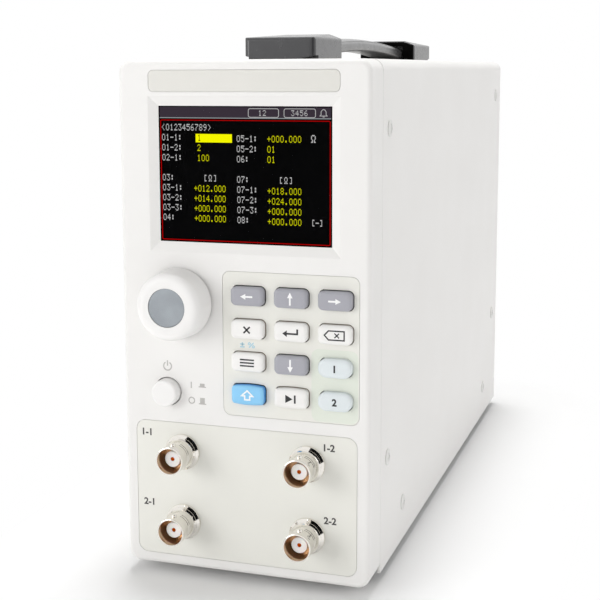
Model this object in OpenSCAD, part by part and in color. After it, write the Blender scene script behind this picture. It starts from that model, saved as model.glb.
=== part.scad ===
// Bench LCR meter: a tall narrow case with a colour display, a keypad, a control knob,
// a power button, four coaxial terminals on the front and a strap handle on the top.
// Modules draw in case coordinates: x = 0 is the middle of the case, y = 0 its front face
// with +y to the rear, and z = 0 its underside. in_frame() moves them to the part's frame,
// which stands on z = 0 with the middle of the whole length at y = 0.

/* [Case] */
// Width of the case
case_w = 88; // [80:0.5:104]
// Height of the case without its feet
case_h = 175.5; // [160:0.5:200]
// Depth of the case from the front face to the rear edge of the cover
case_d = 264; // [255:1:300]
// Depth of the moulded front bezel
bezel_d = 15; // [13:0.5:19]
// Thickness of the bezel's front wall
bezel_wall = 2.8; // [2.6:0.1:3.5]
// Thickness of the bezel's side walls
bezel_side = 2.2; // [1.8:0.1:2.6]
// Radius of the bezel's four corners
corner_r = 4.3; // [3.5:0.1:6]
// Radius of the bezel's front edge
edge_r = 1.7; // [1:0.1:2.2]
// Thickness of the painted cover sheet
sheet_t = 1; // [0.8:0.1:1.4]
// Outer bend radius of the cover
bend_r = 3.9; // [3:0.1:6]
// Thickness of the inner metal plates
plate_t = 1.2; // [1:0.1:2]
// Open seam between the bezel and the cover
seam_gap = 0.35; // [0.2:0.05:0.8]
// How far the rear panel lies inside the cover
rear_inset = 2; // [1:0.5:4]

/* [Feet] */
// Height of a rubber foot
foot_h = 3.5; // [3:0.5:8]
// Radius of a rubber foot
foot_r = 7; // [6:0.5:9]
// Distance of the feet from the case's sides
foot_side = 12; // [10:0.5:18]
// Distance of the front feet from the front face, and of the rear feet from the rear panel
foot_end = 36; // [28:1:40]

/* [Header label] */
// Width of the bare label strip
label_w = 66.4; // [50:0.1:72]
// Height of the label strip
label_h = 7; // [5:0.1:8]
// Sideways place of the label and the display
label_x = 0.4; // [-2:0.1:2]
// Thickness of the label and of the front films
film_t = 0.4; // [0.3:0.05:0.6]
// Corner radius of the label
label_r = 1.7; // [1:0.1:2.4]

/* [Display] */
// Width of the picture area
screen_w = 60; // [56:0.1:62]
// Height of the picture area
screen_h = 45; // [41:0.1:46]
// Sloped border round the picture, in the plane of the front face
screen_border = 3.3; // [2:0.1:3.6]
// Depth of the sloped border
screen_recess = 1.4; // [1:0.1:1.6]
// Thickness of the clear window
window_t = 1; // [0.8:0.1:1.1]
// Thickness of the display module
lcd_t = 3; // [2.5:0.1:5]
// Rim of the display module round its picture
lcd_rim = 2.6; // [2.2:0.1:3.4]

/* [Keypad] */
// Width of a key
key_w = 11.45; // [10:0.05:12]
// Height of a key
key_h = 6.3; // [5.9:0.05:7.4]
// Corner radius of a plain key
key_r = 1.7; // [1.4:0.1:2.2]
// Corner radius of the two parameter keys
pill_r = 2.8; // [2.3:0.1:2.9]
// Bow of the long edges of the two lowest keys
key_bow = 0.45; // [0.3:0.05:0.6]
// Sideways distance from key to key
key_pitch_x = 15.15; // [14.9:0.05:15.4]
// Upright distance from key to key
key_pitch_z = 11.2; // [10.9:0.05:11.5]
// Sideways place of the keypad's middle column from the middle of its film
key_shift = 0.8; // [0:0.1:1]
// How far the keys stand out of the front face
key_out = 2.55; // [1.8:0.05:3.4]
// Depth of the rounding of a key's front edge
key_edge = 0.7; // [0.4:0.1:1]
// Width of the rounding of a key's front edge
key_slope = 1.3; // [0.6:0.1:1.3]
// Clearance round a key
key_gap = 0.3; // [0.2:0.05:0.55]
// Travel of a key
key_travel = 1; // [0.5:0.1:1.4]
// Width of the keypad's printed film
pad_w = 47.4; // [46.5:0.1:48]
// Height of the keypad's printed film
pad_h = 49.3; // [47:0.1:50]
// Distance of the keypad's printed film from the case's right side
pad_side = 3.65; // [2.5:0.05:4]
// Corner radius of the keypad's printed film
pad_r = 2.6; // [1:0.1:4]

/* [Knob] */
// Radius of the knob at its base
knob_r = 12.05; // [11:0.05:13]
// Length of the knob
knob_l = 10.4; // [9.8:0.1:14]
// Open gap between the knob and the front face
knob_gap = 0.8; // [0.7:0.1:1.3]
// Draft angle of the knob's side
knob_draft = 4; // [0:0.5:6]
// Radius of the knob's front edge
knob_edge = 2.9; // [2:0.1:3.4]
// Radius of the disc set into the knob
insert_r = 6.55; // [5.5:0.05:7]
// Sideways place of the knob as a share of the free width left of the keypad's film
knob_place = 0.571; // [0.54:0.001:0.6]
// Height of the knob above the middle of the keypad
knob_rise = 13.1; // [12:0.1:13.5]
// Radius of the control's shaft
shaft_r = 3; // [2.5:0.1:3.2]
// Push travel of the knob
knob_push = 0.5; // [0.2:0.1:0.6]

/* [Power button] */
// Radius of the power button
power_r = 4.7; // [4.2:0.1:5]
// How far the button stands out of the front face when it is off
power_out = 4; // [3.6:0.1:6]
// Travel of the button
power_travel = 3; // [1.5:0.1:3.2]
// Sideways place of the button as a share of the free width left of the keypad's film
power_place = 0.442; // [0.44:0.001:0.5]
// How far the button lies below the middle of the keypad
power_drop = 18.25; // [17.5:0.05:19]
// Clearance round the button
power_gap = 0.35; // [0.2:0.05:0.5]

/* [Terminals] */
// Outer radius of a terminal's barrel
bnc_r = 4.8; // [4.7:0.05:4.9]
// Wall of a terminal's barrel
bnc_wall = 0.5; // [0.45:0.05:0.8]
// Radius of a terminal's flange
flange_r = 6.3; // [6.1:0.1:7.5]
// How far a terminal stands out of the front face
bnc_out = 12; // [11.5:0.1:14]
// Radius of a terminal's white insulator
insulator_r = 2.7; // [2.3:0.05:2.7]
// Sideways distance of the terminals from the middle
bnc_x = 22.5; // [20:0.1:24]
// Height of the lower terminals above the lower edge of the terminals' film
bnc_rise = 12.55; // [11:0.05:13]
// Upright distance between the terminals
bnc_pitch = 25.1; // [24:0.1:25.5]
// Distance of the terminals' printed film from the case's sides
panel_side = 4.3; // [3:0.1:6]
// Height of the terminals' printed film
panel_h = 47.8; // [46:0.1:48.5]
// Corner radius of the terminals' printed film
panel_r = 3.4; // [2:0.1:5]

/* [Handle] */
// Distance of the handle's front end from the front face
handle_y = 39.3; // [35:0.1:50]
// Length of the handle from end to end
handle_l = 196.5; // [175:0.5:205]
// Length of an end cap
cap_l = 36.7; // [32:0.1:42]
// Width of an end cap
cap_w = 26.3; // [24:0.1:29]
// Height of an end cap at its outer end
cap_h = 8; // [7.8:0.1:9]
// Height of an end cap at its mouth
mouth_h = 9.75; // [9.6:0.05:11]
// Width of the raised part of an end cap
hump_w = 18.8; // [17:0.1:21]
// Width of the strap
strap_w = 14.5; // [12:0.5:15]
// Thickness of the strap
strap_t = 5.1; // [4.4:0.1:5.3]
// Clear height under the strap at its middle
strap_high = 4.3; // [4:0.1:5]
// Clear height under the strap at the mouths of the caps
strap_low = 1.7; // [1.4:0.1:1.9]

/* [Rear panel] */
// Sideways place of the mains inlet
inlet_x = 0; // [-20:1:20]
// Height of the mains inlet's middle above the case's underside
inlet_z = 43; // [36:1:50]
// Height of the serial port above the case's underside
port_z = 93; // [84:1:95]
// Number of vent slots in a column
vent_count = 8; // [4:1:9]

/* [Hidden] */
$fn = 96;

// Overlap of a cut past the face that it opens
cut = 1;
// Clearance between metal plates and the cover round them
fit_gap = 0.1;
// Radial clearance between a shaft and its bearing
slip = 0.05;
// Clearance of a fastener in a plain hole
hole_gap = 0.2;
// Clearance round a film in its recess
film_gap = 0.15;
// Thickness of the thin slices that a hull joins
skin = 0.01;
// Free length between the tip of a screw and the bottom of its hole
tip_gap = 0.5;

inner_w = case_w - 2 * sheet_t - 2 * fit_gap;
inner_h = case_h - sheet_t - fit_gap;
inner_r = bend_r - sheet_t + fit_gap;
rear_y = case_d - rear_inset;
cover_y = bezel_d + seam_gap;
frame_y = bezel_d + plate_t;

// Fastener sizes: head radius, head height, shank radius
SIDE_SCREW = [2.9, 0.7, 1.5];
INNER_SCREW = [2, 1.3, 1];
HANDLE_SCREW = [3.6, 2.2, 1.9];
FOOT_SCREW = [2.8, 1.5, 1.5];
side_screw_l = 6;
inner_screw_l = 5;
handle_screw_l = 6;
foot_screw_reach = 3;
foot_screw_sink = 0.3;
boss_r = 1.8;
boss_floor = 1;

// Side flanges of the front frame, the chassis and the rear panel
flange_w = 16.4;
flange_gap = 5;
chassis_flange_h = 22;
flange_z = chassis_flange_h + flange_gap;
flange_top = inner_h - 8.5;
flange_h = flange_top - flange_z;

// Side screws as distance from the front face and height: the front frame's and the rear panel's
// from the upper and the lower end of their flanges, and the chassis's
frame_screw_y = frame_y + flange_w / 2;
FRAME_SCREW_IN = [13.4, 11.9];
rear_screw_y = rear_y - 12.4;
REAR_SCREW_IN = [7, 20.8];
CHASSIS_SCREWS_Y = [frame_y + 32.5, rear_y - 36];
chassis_screw_z = 14.4;
SIDE_SCREWS = [
    [frame_screw_y, flange_top - FRAME_SCREW_IN[0]],
    [frame_screw_y, flange_z + FRAME_SCREW_IN[1]],
    [rear_screw_y, flange_top - REAR_SCREW_IN[0]],
    [rear_screw_y, flange_z + REAR_SCREW_IN[1]],
    for (y = CHASSIS_SCREWS_Y) [y, chassis_screw_z]
];

// Screws that hold the bezel: distance from the sides, the top and the underside
bezel_screw_side = 6;
bezel_screw_top = 8.9;
bezel_screw_low = 9.4;

// Feet
seat_h = foot_h / 2;
foot_edge = 0.8;

// Display
screen_gap = 0.3;
open_w = screen_w + 2 * screen_gap;
open_h = screen_h + 2 * screen_gap;
border_h = open_h + 2 * screen_border;
window_lap = 1.6;
window_r = 1;
window_w = screen_w + 2 * window_lap;
window_h = screen_h + 2 * window_lap;
lcd_w = screen_w + 2 * lcd_rim;
lcd_h = screen_h + 2 * lcd_rim;
lcd_boss_x = lcd_w / 2 + slip + boss_r;
lcd_boss_z = lcd_h / 4;

// Free height of the front, shared out above the label, below the label, below the display,
// below the keypad's film and below the terminals' film
front_free = case_h - label_h - border_h - pad_h - panel_h;
FREE_SHARES = [0.178, 0.073, 0.305, 0.233, 0.211];
label_z = case_h - FREE_SHARES[0] * front_free - label_h / 2;
screen_z = label_z - label_h / 2 - FREE_SHARES[1] * front_free - border_h / 2;
keypad_z = screen_z - border_h / 2 - FREE_SHARES[2] * front_free - pad_h / 2;
panel_z = FREE_SHARES[4] * front_free + panel_h / 2;
panel_w = case_w - 2 * panel_side;
pad_x = case_w / 2 - pad_side - pad_w / 2;
keypad_x = pad_x + key_shift;
left_free = pad_x - pad_w / 2 + case_w / 2;
knob_x = knob_place * left_free - case_w / 2;
knob_z = keypad_z + knob_rise;
power_x = power_place * left_free - case_w / 2;
power_z = keypad_z - power_drop;
bnc_z = panel_z - panel_h / 2 + bnc_rise;

// Windows of the front frame
frame_band = 8.5;
frame_lap = 2.6;
frame_window_r = 2.6;
frame_window_z = power_z - 8;

// Keys: name, column, row, outline and colour
KEYS = [
    ["key_left", -1, 0, "plain", "darkgray"],
    ["key_up", 0, 0, "plain", "darkgray"],
    ["key_right", 1, 0, "plain", "darkgray"],
    ["key_escape", -1, 1, "plain", "whitesmoke"],
    ["key_enter", 0, 1, "plain", "whitesmoke"],
    ["key_clear", 1, 1, "plain", "whitesmoke"],
    ["key_menu", -1, 2, "plain", "whitesmoke"],
    ["key_down", 0, 2, "plain", "darkgray"],
    ["key_a", 1, 2, "pill", "aliceblue"],
    ["key_shift", -1, 3, "bowed", "deepskyblue"],
    ["key_start", 0, 3, "bowed", "whitesmoke"],
    ["key_b", 1, 3, "pill", "aliceblue"]
];
key_lip = 0.8;
key_lip_t = 1;
key_stem_r = 2.2;
key_stem_l = 0.6;
key_nose_r = (key_edge * key_edge + key_slope * key_slope) / (2 * key_edge);
key_nose_over = key_nose_r - key_slope;
tact_w = 6;
tact_t = 2.2;
tact_tip_r = 1.7;
tact_tip_l = 0.65;
board_t = 1.6;
tact_y = bezel_wall + key_lip_t + key_stem_l + key_travel + slip;
board_y = tact_y + tact_tip_l + tact_t;
board_edge = 0.5;
key_boss_z = 1.5 * key_pitch_z + key_h / 2 + key_lip + hole_gap + boss_r;
key_board_w = 2 * (key_pitch_x + key_w / 2 + board_edge);
key_board_h = 2 * (key_boss_z + boss_r + board_edge);

// Knob and rotary control
knob_front = knob_gap + knob_l;
knob_shell = 2.1;
knob_crown = 2;
knob_boss_r = 5;
insert_t = 1.1;
insert_sink = 0.15;
insert_edge = 0.3;
hollow_z = knob_front - insert_t - knob_crown;
bushing_r = shaft_r + 0.9;
bushing_l = 3;
nut_r = bushing_r + 1.8;
nut_t = 2;
washer_r = bushing_r + 2.2;
washer_t = 0.5;
push_gap = 0.4;
knob_boss_gap = knob_push + push_gap;
encoder_w = 13;
encoder_l = 7;
plunger_r = shaft_r + 1.2;
plunger_t = 1.4;
shaft_in = 4.2;

// Power switch
power_lip = 1.1;
power_lip_t = 1.2;
power_edge = 0.9;
stem_r = 2;
stem_l = 8;
switch_gap = 0.6;
switch_y = bezel_wall + power_lip_t + power_travel + switch_gap;
switch_w = 10;
switch_l = 16;
ear_t = 1.6;
ear_h = 7;
ear_x = power_r + power_lip + switch_gap + boss_r;

// Terminals
flange_t = 1.9;
flange_edge = 0.7;
collar_step = 0.6;
collar_r = bnc_r + collar_step;
collar_l = 2;
collar_edge = 0.4;
bnc_rim = 0.2;
bore_d = bnc_out - flange_t - collar_l;
thread_step = 0.1;
thread_r = bnc_r - thread_step;
thread_out = 5.2;
thread_l = bezel_wall + thread_out;
tail_r = 3.4;
tail_l = 4;
lug_r = 0.95;
lug_out = 0.7;
lug_reach = bnc_r + lug_out;
lug_back = 3.4;
lug_z = bnc_out - lug_back;
land_gap = 0.1;
land_z = lug_z + lug_r + land_gap;
neck_step = 0.2;
neck_r = bnc_r - neck_step;
insulator_sink = 3;
contact_r = 1;
contact_sink = 3.2;
contact_socket_r = 0.68;
contact_socket_l = 1.8;
contact_tail = 3;
bnc_tail_y = thread_l + tail_l + contact_tail;
lock_t = 0.7;
bnc_nut_t = 2.6;
bnc_nut_r = 6.8;

// Handle
cap_corner = 2;
cap_base = 1;
cap_nose_r = 1.2;
cap_mouth_r = 2.2;
cap_side_edge = 1.4;
cap_shoulder = 1.5;
strap_in = 7;
strap_end_gap = 2;
strap_play = 0.5;
strap_edge = 1.2;
strap_crown = 17;
smile_drop = 1.55;
smile_deep = 5;
cap_screw_y = 9.5;
cap_screw_in = 6;
cap_screw_x = cap_w / 2 - cap_screw_in;
half_span = handle_l / 2 - cap_l;
strap_rise = strap_high - strap_low;
arch_r = (half_span * half_span + strap_rise * strap_rise) / (2 * strap_rise);

// Chassis, board and transformer
standoff_h = 8;
standoff_r = 3;
board_side = 6;
main_board_w = inner_w - 2 * plate_t - 2 * board_side;
main_board_l = 128;
main_board_y = frame_y + 31;
main_hole_in = 5;
main_hole_x = main_board_w / 2 - main_hole_in;
MAIN_HOLES_Y = [main_board_y + main_hole_in, main_board_y + main_board_l - main_hole_in];
// Chips on the main board: x and distance along the board of a corner, width, length, height
CHIPS = [
    [-24, 30, 10, 16, 2],
    [-10, 30, 10, 16, 2],
    [4, 30, 10, 16, 2],
    [18, 30, 10, 16, 2],
    [-14, 60, 24, 24, 2.4]
];
CAPACITORS_X = [-24, -4, 16];
capacitor_r = 6;
capacitor_h = 17;
capacitor_y = main_board_y + main_board_l - 4 * capacitor_r;
core_w = 48;
core_h = 40;
core_l = 20;
coil_w = 30;
coil_h = 28;
coil_l = 36;
transformer_y = rear_y - 62;
tab_w = 64;
tab_t = 2;

// Wiring
coax_r = 1.3;
wire_r = 1.1;
wire_pitch = 5;
wire_bend = 4;
board_top = plate_t + standoff_h + board_t;
lead_in = 9;
lead_y = main_board_y + lead_in;
lead_end = 6;
lead_bend_y = frame_y + flange_w;
// Sideways places where the leads of the upper and the lower terminals end
LEAD_ENDS = [20.5, 25.5];
side_run_in = 5;
side_run_x = side_run_in - inner_w / 2;
side_run_z = flange_z;
side_run_end = transformer_y - coil_l / 2 - 6 * wire_bend;
LEAD_SIDES = 8;
// Direction that no lead follows, from which the sides of all leads are counted
LEAD_REF = [1, 0.4, 0.2];
// Flat cables: sideways place, depth and height of the upper end, depth of the upright run
RIBBONS = [
    [-12, bezel_wall + lcd_t, screen_z - lcd_h / 3, frame_y + 12],
    [2, board_y + board_t, keypad_z - key_board_h / 3, frame_y + 6]
];
ribbon_t = 0.8;
ribbon_w = 11;

// Mains inlet and serial port
inlet_w = 34;
inlet_h = 46;
inlet_lip = 2.5;
inlet_rim = 3;
inlet_body = 24;
inlet_gap = 0.2;
socket_w = 24.4;
socket_h = 16.6;
socket_cut = 4.5;
socket_deep = 17;
socket_z = -9;
drawer_w = 24.4;
drawer_h = 9;
drawer_l = 20;
drawer_z = 9.5;
drawer_gap = 0.15;
drawer_lip = 1.2;
drawer_lip_h = 2;
drawer_front = 3;
fuse_w = 6.5;
fuse_wall = 2;
fuse_floor = 1.5;
blade_t = 2;
blade_w = 4;
blade_pitch = 14;
blade_sink = 4.8;
blade_tail = 14;
earth_z = 2;
port_out = 6;
port_flange_w = 30.8;
port_flange_h = 12.5;
port_flange_t = 1;
port_flange_r = 1.5;
port_cut = 1.5;
port_slant = 10;
port_w = 16.9;
port_h = 8.3;
port_wall = 0.5;
port_post_x = 12.5;
port_post_r = 2.7;
port_post_l = 5;
port_screw_r = 1.2;
port_body = 8;
port_body_side = 3;
port_body_end = 2.5;
port_body_r = 1;
port_insert_sink = 0.6;
port_pin_pitch = 2.76;
port_row_z = 1.42;
port_pin_r = 0.55;

// Vent slots of the rear panel
vent_w = 30;
vent_h = 2.4;
vent_pitch = 5;
vent_x = 19;
vent_drop = 18;
vent_top = case_h - vent_drop;

// The part's own frame
front_reach = max(bnc_out, knob_front);
rear_reach = port_out - rear_inset;
front_y = (front_reach - case_d - rear_reach) / 2;

// Place of a key's middle on the front face
function key_at(key) = [
    keypad_x + key[1] * key_pitch_x,
    keypad_z + (1.5 - key[2]) * key_pitch_z
];

// Place of terminal i, counted along the upper pair and then the lower pair
function bnc_at(i) = [
    (i % 2 == 1 ? -1 : 1) * bnc_x,
    bnc_z + (i <= 2 ? bnc_pitch : 0)
];

// Places of the four screws that hold the bezel to the front frame
BEZEL_SCREWS = [
    for (sx = [-1, 1], z = [bezel_screw_low, case_h - bezel_screw_top])
        [sx * (case_w / 2 - bezel_screw_side), z]
];

// Places of the handle's four screws on the top of the case
HANDLE_SCREWS = [
    for (sx = [-1, 1], y = [handle_y + cap_screw_y, handle_y + handle_l - cap_screw_y])
        [sx * cap_screw_x, y]
];

// Places of the four feet
FEET = [
    for (sx = [-1, 1], y = [foot_end, rear_y - foot_end]) [sx * (case_w / 2 - foot_side), y]
];

module in_frame() {
    translate([0, front_y, foot_h])
        children();
}

// Outline in (x, z) swept from y0 to y1
module along_y(y0, y1) {
    translate([0, y1, 0])
        rotate([90, 0, 0])
            linear_extrude(y1 - y0)
                children();
}

// Outline in (y, z) swept from x0 to x1
module along_x(x0, x1) {
    translate([x0, 0, 0])
        rotate([90, 0, 90])
            linear_extrude(x1 - x0)
                children();
}

// Outline in (x, y) swept from z0 to z1
module along_z(z0, z1) {
    translate([0, 0, z0])
        linear_extrude(z1 - z0)
            children();
}

// Local z points out of the front face at a place (x, z) on it
module toward_front(place) {
    translate([place[0], 0, place[1]])
        rotate([90, 0, 0])
            children();
}

// Local z points to the rear at a place (x, z) and a depth y
module toward_rear(place, y) {
    translate([place[0], y, place[1]])
        rotate([-90, 0, 0])
            children();
}

module rounded_rect(w, h, r) {
    square([w - 2 * r, h], center = true);
    square([w, h - 2 * r], center = true);
    for (sx = [-1, 1], sy = [-1, 1])
        translate([sx * (w / 2 - r), sy * (h / 2 - r)])
            circle(r);
}

// Case section that stands on z = 0 and has round top corners
module arch(w, h, r) {
    translate([-w / 2, 0])
        square([w, h - r]);
    translate([-w / 2 + r, 0])
        square([w - 2 * r, h]);
    for (s = [-1, 1])
        translate([s * (w / 2 - r), h - r])
            circle(r);
}

// Rectangle of depth d and width w whose two corners at depth 0 are rounded by e
module round_nosed(d, w, e) {
    translate([e, -w / 2])
        square([d - e, w]);
    translate([0, -w / 2 + e])
        square([e, w - 2 * e]);
    for (s = [-1, 1])
        translate([e, s * (w / 2 - e)])
            circle(e);
}

// Block of depth d with its front face at y = 0, corners of radius r and a front edge of radius e
module soft_block(w, h, d, r, e) {
    along_x(-w / 2 + r, w / 2 - r)
        round_nosed(d, h, e);
    along_z(-h / 2 + r, h / 2 - r)
        mirror([1, -1])
            round_nosed(d, w, e);
    for (sx = [-1, 1], sz = [-1, 1])
        translate([sx * (w / 2 - r), 0, sz * (h / 2 - r)])
            rotate([-90, 0, 0])
                rotate_extrude()
                    intersection() {
                        mirror([1, -1])
                            round_nosed(d, 2 * r, e);
                        square([r, d]);
                    }
}

// Disc from z = 0 to z = d with its far edge rounded by e
module soft_disc(r, d, e) {
    rotate_extrude() {
        square([r - e, d]);
        square([r, d - e]);
        translate([r - e, d - e])
            circle(e);
    }
}

// Pan-head screw with a cross recess: head above z = 0, shank of length l below it
module screw(size, l) {
    rise = size[1] / 2;
    dome_r = (size[0] * size[0] + rise * rise) / (2 * rise);
    difference() {
        rotate_extrude()
            intersection() {
                square([size[0], size[1]]);
                translate([0, size[1] - dome_r])
                    circle(dome_r);
            }
        for (a = [0, 90])
            translate([0, 0, size[1]])
                rotate(a)
                    cube([1.1 * size[0], 0.28 * size[0], size[1]], center = true);
    }
    translate([0, 0, -l])
        cylinder(r = size[2], h = l);
}

// Holes for the side screws on both sides of the case, for those whose y lies between y0 and y1
module side_screw_holes(y0, y1) {
    for (place = SIDE_SCREWS)
        if (place[0] > y0 && place[0] < y1)
            translate([-case_w / 2 - cut, place[0], place[1]])
                rotate([0, 90, 0])
                    cylinder(r = SIDE_SCREW[2] + hole_gap, h = case_w + 2 * cut);
}

// Radius of the arc of a bowed long edge, for a key grown by g
function bow_r(g) = (pow(key_w / 2 + g, 2) + key_bow * key_bow) / (2 * key_bow);

// Height of the middle of the upper edge's arc above the key's middle
function bow_z(g) = key_h / 2 + g + key_bow / 2 - bow_r(g);

// Height and corner radius of a key's outline
function key_tall(shape) = key_h + (shape == "bowed" ? key_bow : 0);
function key_corner(shape) = shape == "pill" ? pill_r : key_r;

// Key outline, grown by g on every side
module key_outline(shape, g) {
    if (shape == "bowed")
        intersection() {
            rounded_rect(key_w + 2 * g, key_tall(shape) + 2 * g, key_corner(shape) + g);
            translate([0, bow_z(g)])
                circle(bow_r(g));
            translate([0, -bow_z(g)])
                circle(bow_r(g));
        }
    else
        rounded_rect(key_w + 2 * g, key_tall(shape) + 2 * g, key_corner(shape) + g);
}

// Block with a key's rounded front edge, larger than the key by key_nose_over all round
module key_nose(shape) {
    translate([0, -key_out, 0])
        soft_block(key_w + 2 * key_nose_over, key_tall(shape) + 2 * key_nose_over,
                   key_out + bezel_wall + cut, key_corner(shape) + key_nose_over, key_nose_r);
}

// Disc with a key's rounded front edge along a bowed long edge, above or below by the sign s
module bow_nose(s) {
    toward_front([0, s * bow_z(0)])
        translate([0, 0, -bezel_wall - cut])
            soft_disc(bow_r(0) + key_nose_over, key_out + bezel_wall + cut, key_nose_r);
}

// Part of a key that stands in its hole and out of the front face
module key_front(shape) {
    if (shape == "bowed")
        intersection() {
            along_y(-key_out, bezel_wall)
                key_outline(shape, 0);
            key_nose(shape);
            bow_nose(1);
            bow_nose(-1);
        }
    else
        intersection() {
            along_y(-key_out, bezel_wall)
                key_outline(shape, 0);
            key_nose(shape);
        }
}

// Holes for all the keys, between two depths
module key_holes(y0, y1) {
    for (key = KEYS)
        along_y(y0, y1)
            translate(key_at(key))
                key_outline(key[3], key_gap);
}

module label_outline(g) {
    translate([label_x, label_z])
        rounded_rect(label_w + 2 * g, label_h + 2 * g, label_r + g);
}

module pad_outline(g) {
    translate([pad_x, keypad_z])
        rounded_rect(pad_w + 2 * g, pad_h + 2 * g, pad_r + g);
}

module panel_outline(g) {
    translate([0, panel_z])
        rounded_rect(panel_w + 2 * g, panel_h + 2 * g, panel_r + g);
}

// Sloped border of the display, cut from the front face down to the opening
module display_border() {
    hull() {
        along_y(-cut, 0)
            translate([label_x, screen_z])
                square([open_w + 2 * screen_border, open_h + 2 * screen_border], center = true);
        along_y(screen_recess - skin, screen_recess)
            translate([label_x, screen_z])
                square([open_w, open_h], center = true);
    }
}

// Bosses on the back of the bezel's wall, with a pilot hole when bore is true
module bezel_bosses(bore) {
    r = bore ? INNER_SCREW[2] + slip : boss_r;
    shift = bore ? boss_floor : 0;
    root = bezel_wall / 2;
    for (place = BEZEL_SCREWS)
        along_y(bezel_wall + shift, bezel_d + shift)
            translate(place)
                circle(r);
    for (sx = [-1, 1], sz = [-1, 1]) {
        along_y(root + shift, bezel_wall + lcd_t + shift)
            translate([label_x + sx * lcd_boss_x, screen_z + sz * lcd_boss_z])
                circle(r);
        along_y(root + shift, board_y + shift)
            translate([keypad_x + sx * key_pitch_x, keypad_z + sz * key_boss_z])
                circle(r);
    }
    for (sx = [-1, 1])
        along_y(root + shift, switch_y + shift)
            translate([power_x + sx * ear_x, power_z])
                circle(r);
}

// Moulded front with its recesses, openings and screw bosses
module front_bezel() {
    color("gainsboro")
        in_frame()
            difference() {
                union() {
                    difference() {
                        translate([0, 0, case_h / 2])
                            soft_block(case_w, case_h, bezel_d, corner_r, edge_r);
                        along_y(bezel_wall, bezel_d + cut)
                            translate([0, case_h / 2])
                                rounded_rect(case_w - 2 * bezel_side, case_h - 2 * bezel_side,
                                             corner_r - bezel_side);
                    }
                    bezel_bosses(false);
                }
                bezel_bosses(true);
                along_y(-cut, film_t)
                    label_outline(film_gap);
                along_y(-cut, film_t)
                    pad_outline(film_gap);
                along_y(-cut, film_t)
                    panel_outline(film_gap);
                display_border();
                along_y(0, bezel_wall + cut)
                    translate([label_x, screen_z])
                        square([open_w, open_h], center = true);
                along_y(screen_recess, bezel_wall + cut)
                    translate([label_x, screen_z])
                        rounded_rect(window_w + 2 * film_gap, window_h + 2 * film_gap, window_r);
                key_holes(0, bezel_wall + cut);
                toward_front([knob_x, knob_z])
                    translate([0, 0, -bezel_wall - cut])
                        cylinder(r = bushing_r + hole_gap, h = bezel_wall + 2 * cut);
                toward_front([power_x, power_z])
                    translate([0, 0, -bezel_wall - cut])
                        cylinder(r = power_r + power_gap, h = bezel_wall + 2 * cut);
                for (i = [1:4])
                    toward_front(bnc_at(i))
                        translate([0, 0, -bezel_wall - cut])
                            cylinder(r = thread_r + hole_gap, h = bezel_wall + 2 * cut);
            }
}

// Metal frame behind the bezel, with two windows and side flanges under the cover
module front_frame() {
    opening_w = inner_w - 2 * frame_band;
    color("silver")
        in_frame()
            difference() {
                union() {
                    along_y(bezel_d, frame_y)
                        intersection() {
                            arch(inner_w, inner_h, inner_r);
                            translate([-inner_w / 2, plate_t])
                                square([inner_w, inner_h - plate_t]);
                        }
                    for (s = [-1, 1])
                        along_x(s * (inner_w - plate_t) / 2 - plate_t / 2,
                                s * (inner_w - plate_t) / 2 + plate_t / 2)
                            translate([bezel_d, flange_z])
                                square([plate_t + flange_w, flange_h]);
                }
                along_y(bezel_d - cut, frame_y + cut)
                    translate([0, panel_z])
                        rounded_rect(opening_w, panel_h - 2 * frame_lap, frame_window_r);
                along_y(bezel_d - cut, frame_y + cut)
                    translate([0, (frame_window_z + label_z) / 2])
                        rounded_rect(opening_w, label_z - frame_window_z, frame_window_r);
                for (place = BEZEL_SCREWS)
                    along_y(bezel_d - cut, frame_y + cut)
                        translate(place)
                            circle(INNER_SCREW[2] + hole_gap);
                side_screw_holes(frame_y, frame_y + flange_w);
            }
}

// Painted cover: top and both sides bent from one sheet
module cover() {
    color("whitesmoke")
        in_frame()
            difference() {
                along_y(cover_y, case_d)
                    difference() {
                        arch(case_w, case_h, bend_r);
                        translate([0, -cut])
                            arch(case_w - 2 * sheet_t, case_h - sheet_t + cut, bend_r - sheet_t);
                    }
                side_screw_holes(cover_y, case_d);
                for (place = HANDLE_SCREWS)
                    translate([place[0], place[1], case_h - sheet_t - cut])
                        cylinder(r = HANDLE_SCREW[2] + hole_gap, h = sheet_t + 2 * cut);
            }
}

// Bottom tray with side flanges and the main board's standoffs
module chassis() {
    color("silver")
        in_frame()
            difference() {
                union() {
                    along_z(0, plate_t)
                        translate([-inner_w / 2, cover_y])
                            square([inner_w, rear_y - cover_y]);
                    for (s = [-1, 1])
                        along_x(s * (inner_w - plate_t) / 2 - plate_t / 2,
                                s * (inner_w - plate_t) / 2 + plate_t / 2)
                            translate([frame_y + flange_w + flange_gap, 0])
                                square([rear_y - frame_y - plate_t - 2 * (flange_w + flange_gap),
                                        chassis_flange_h]);
                    for (sx = [-1, 1], y = MAIN_HOLES_Y)
                        translate([sx * main_hole_x, y, 0])
                            cylinder(r = standoff_r, h = plate_t + standoff_h);
                }
                side_screw_holes(frame_y + flange_w, rear_y - flange_w - plate_t);
                for (sx = [-1, 1], y = MAIN_HOLES_Y)
                    translate([sx * main_hole_x, y, plate_t + boss_floor])
                        cylinder(r = INNER_SCREW[2] + slip, h = standoff_h);
                for (place = FEET)
                    translate([place[0], place[1], -cut])
                        cylinder(r = FOOT_SCREW[2] + slip, h = plate_t + 2 * cut);
            }
}

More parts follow.
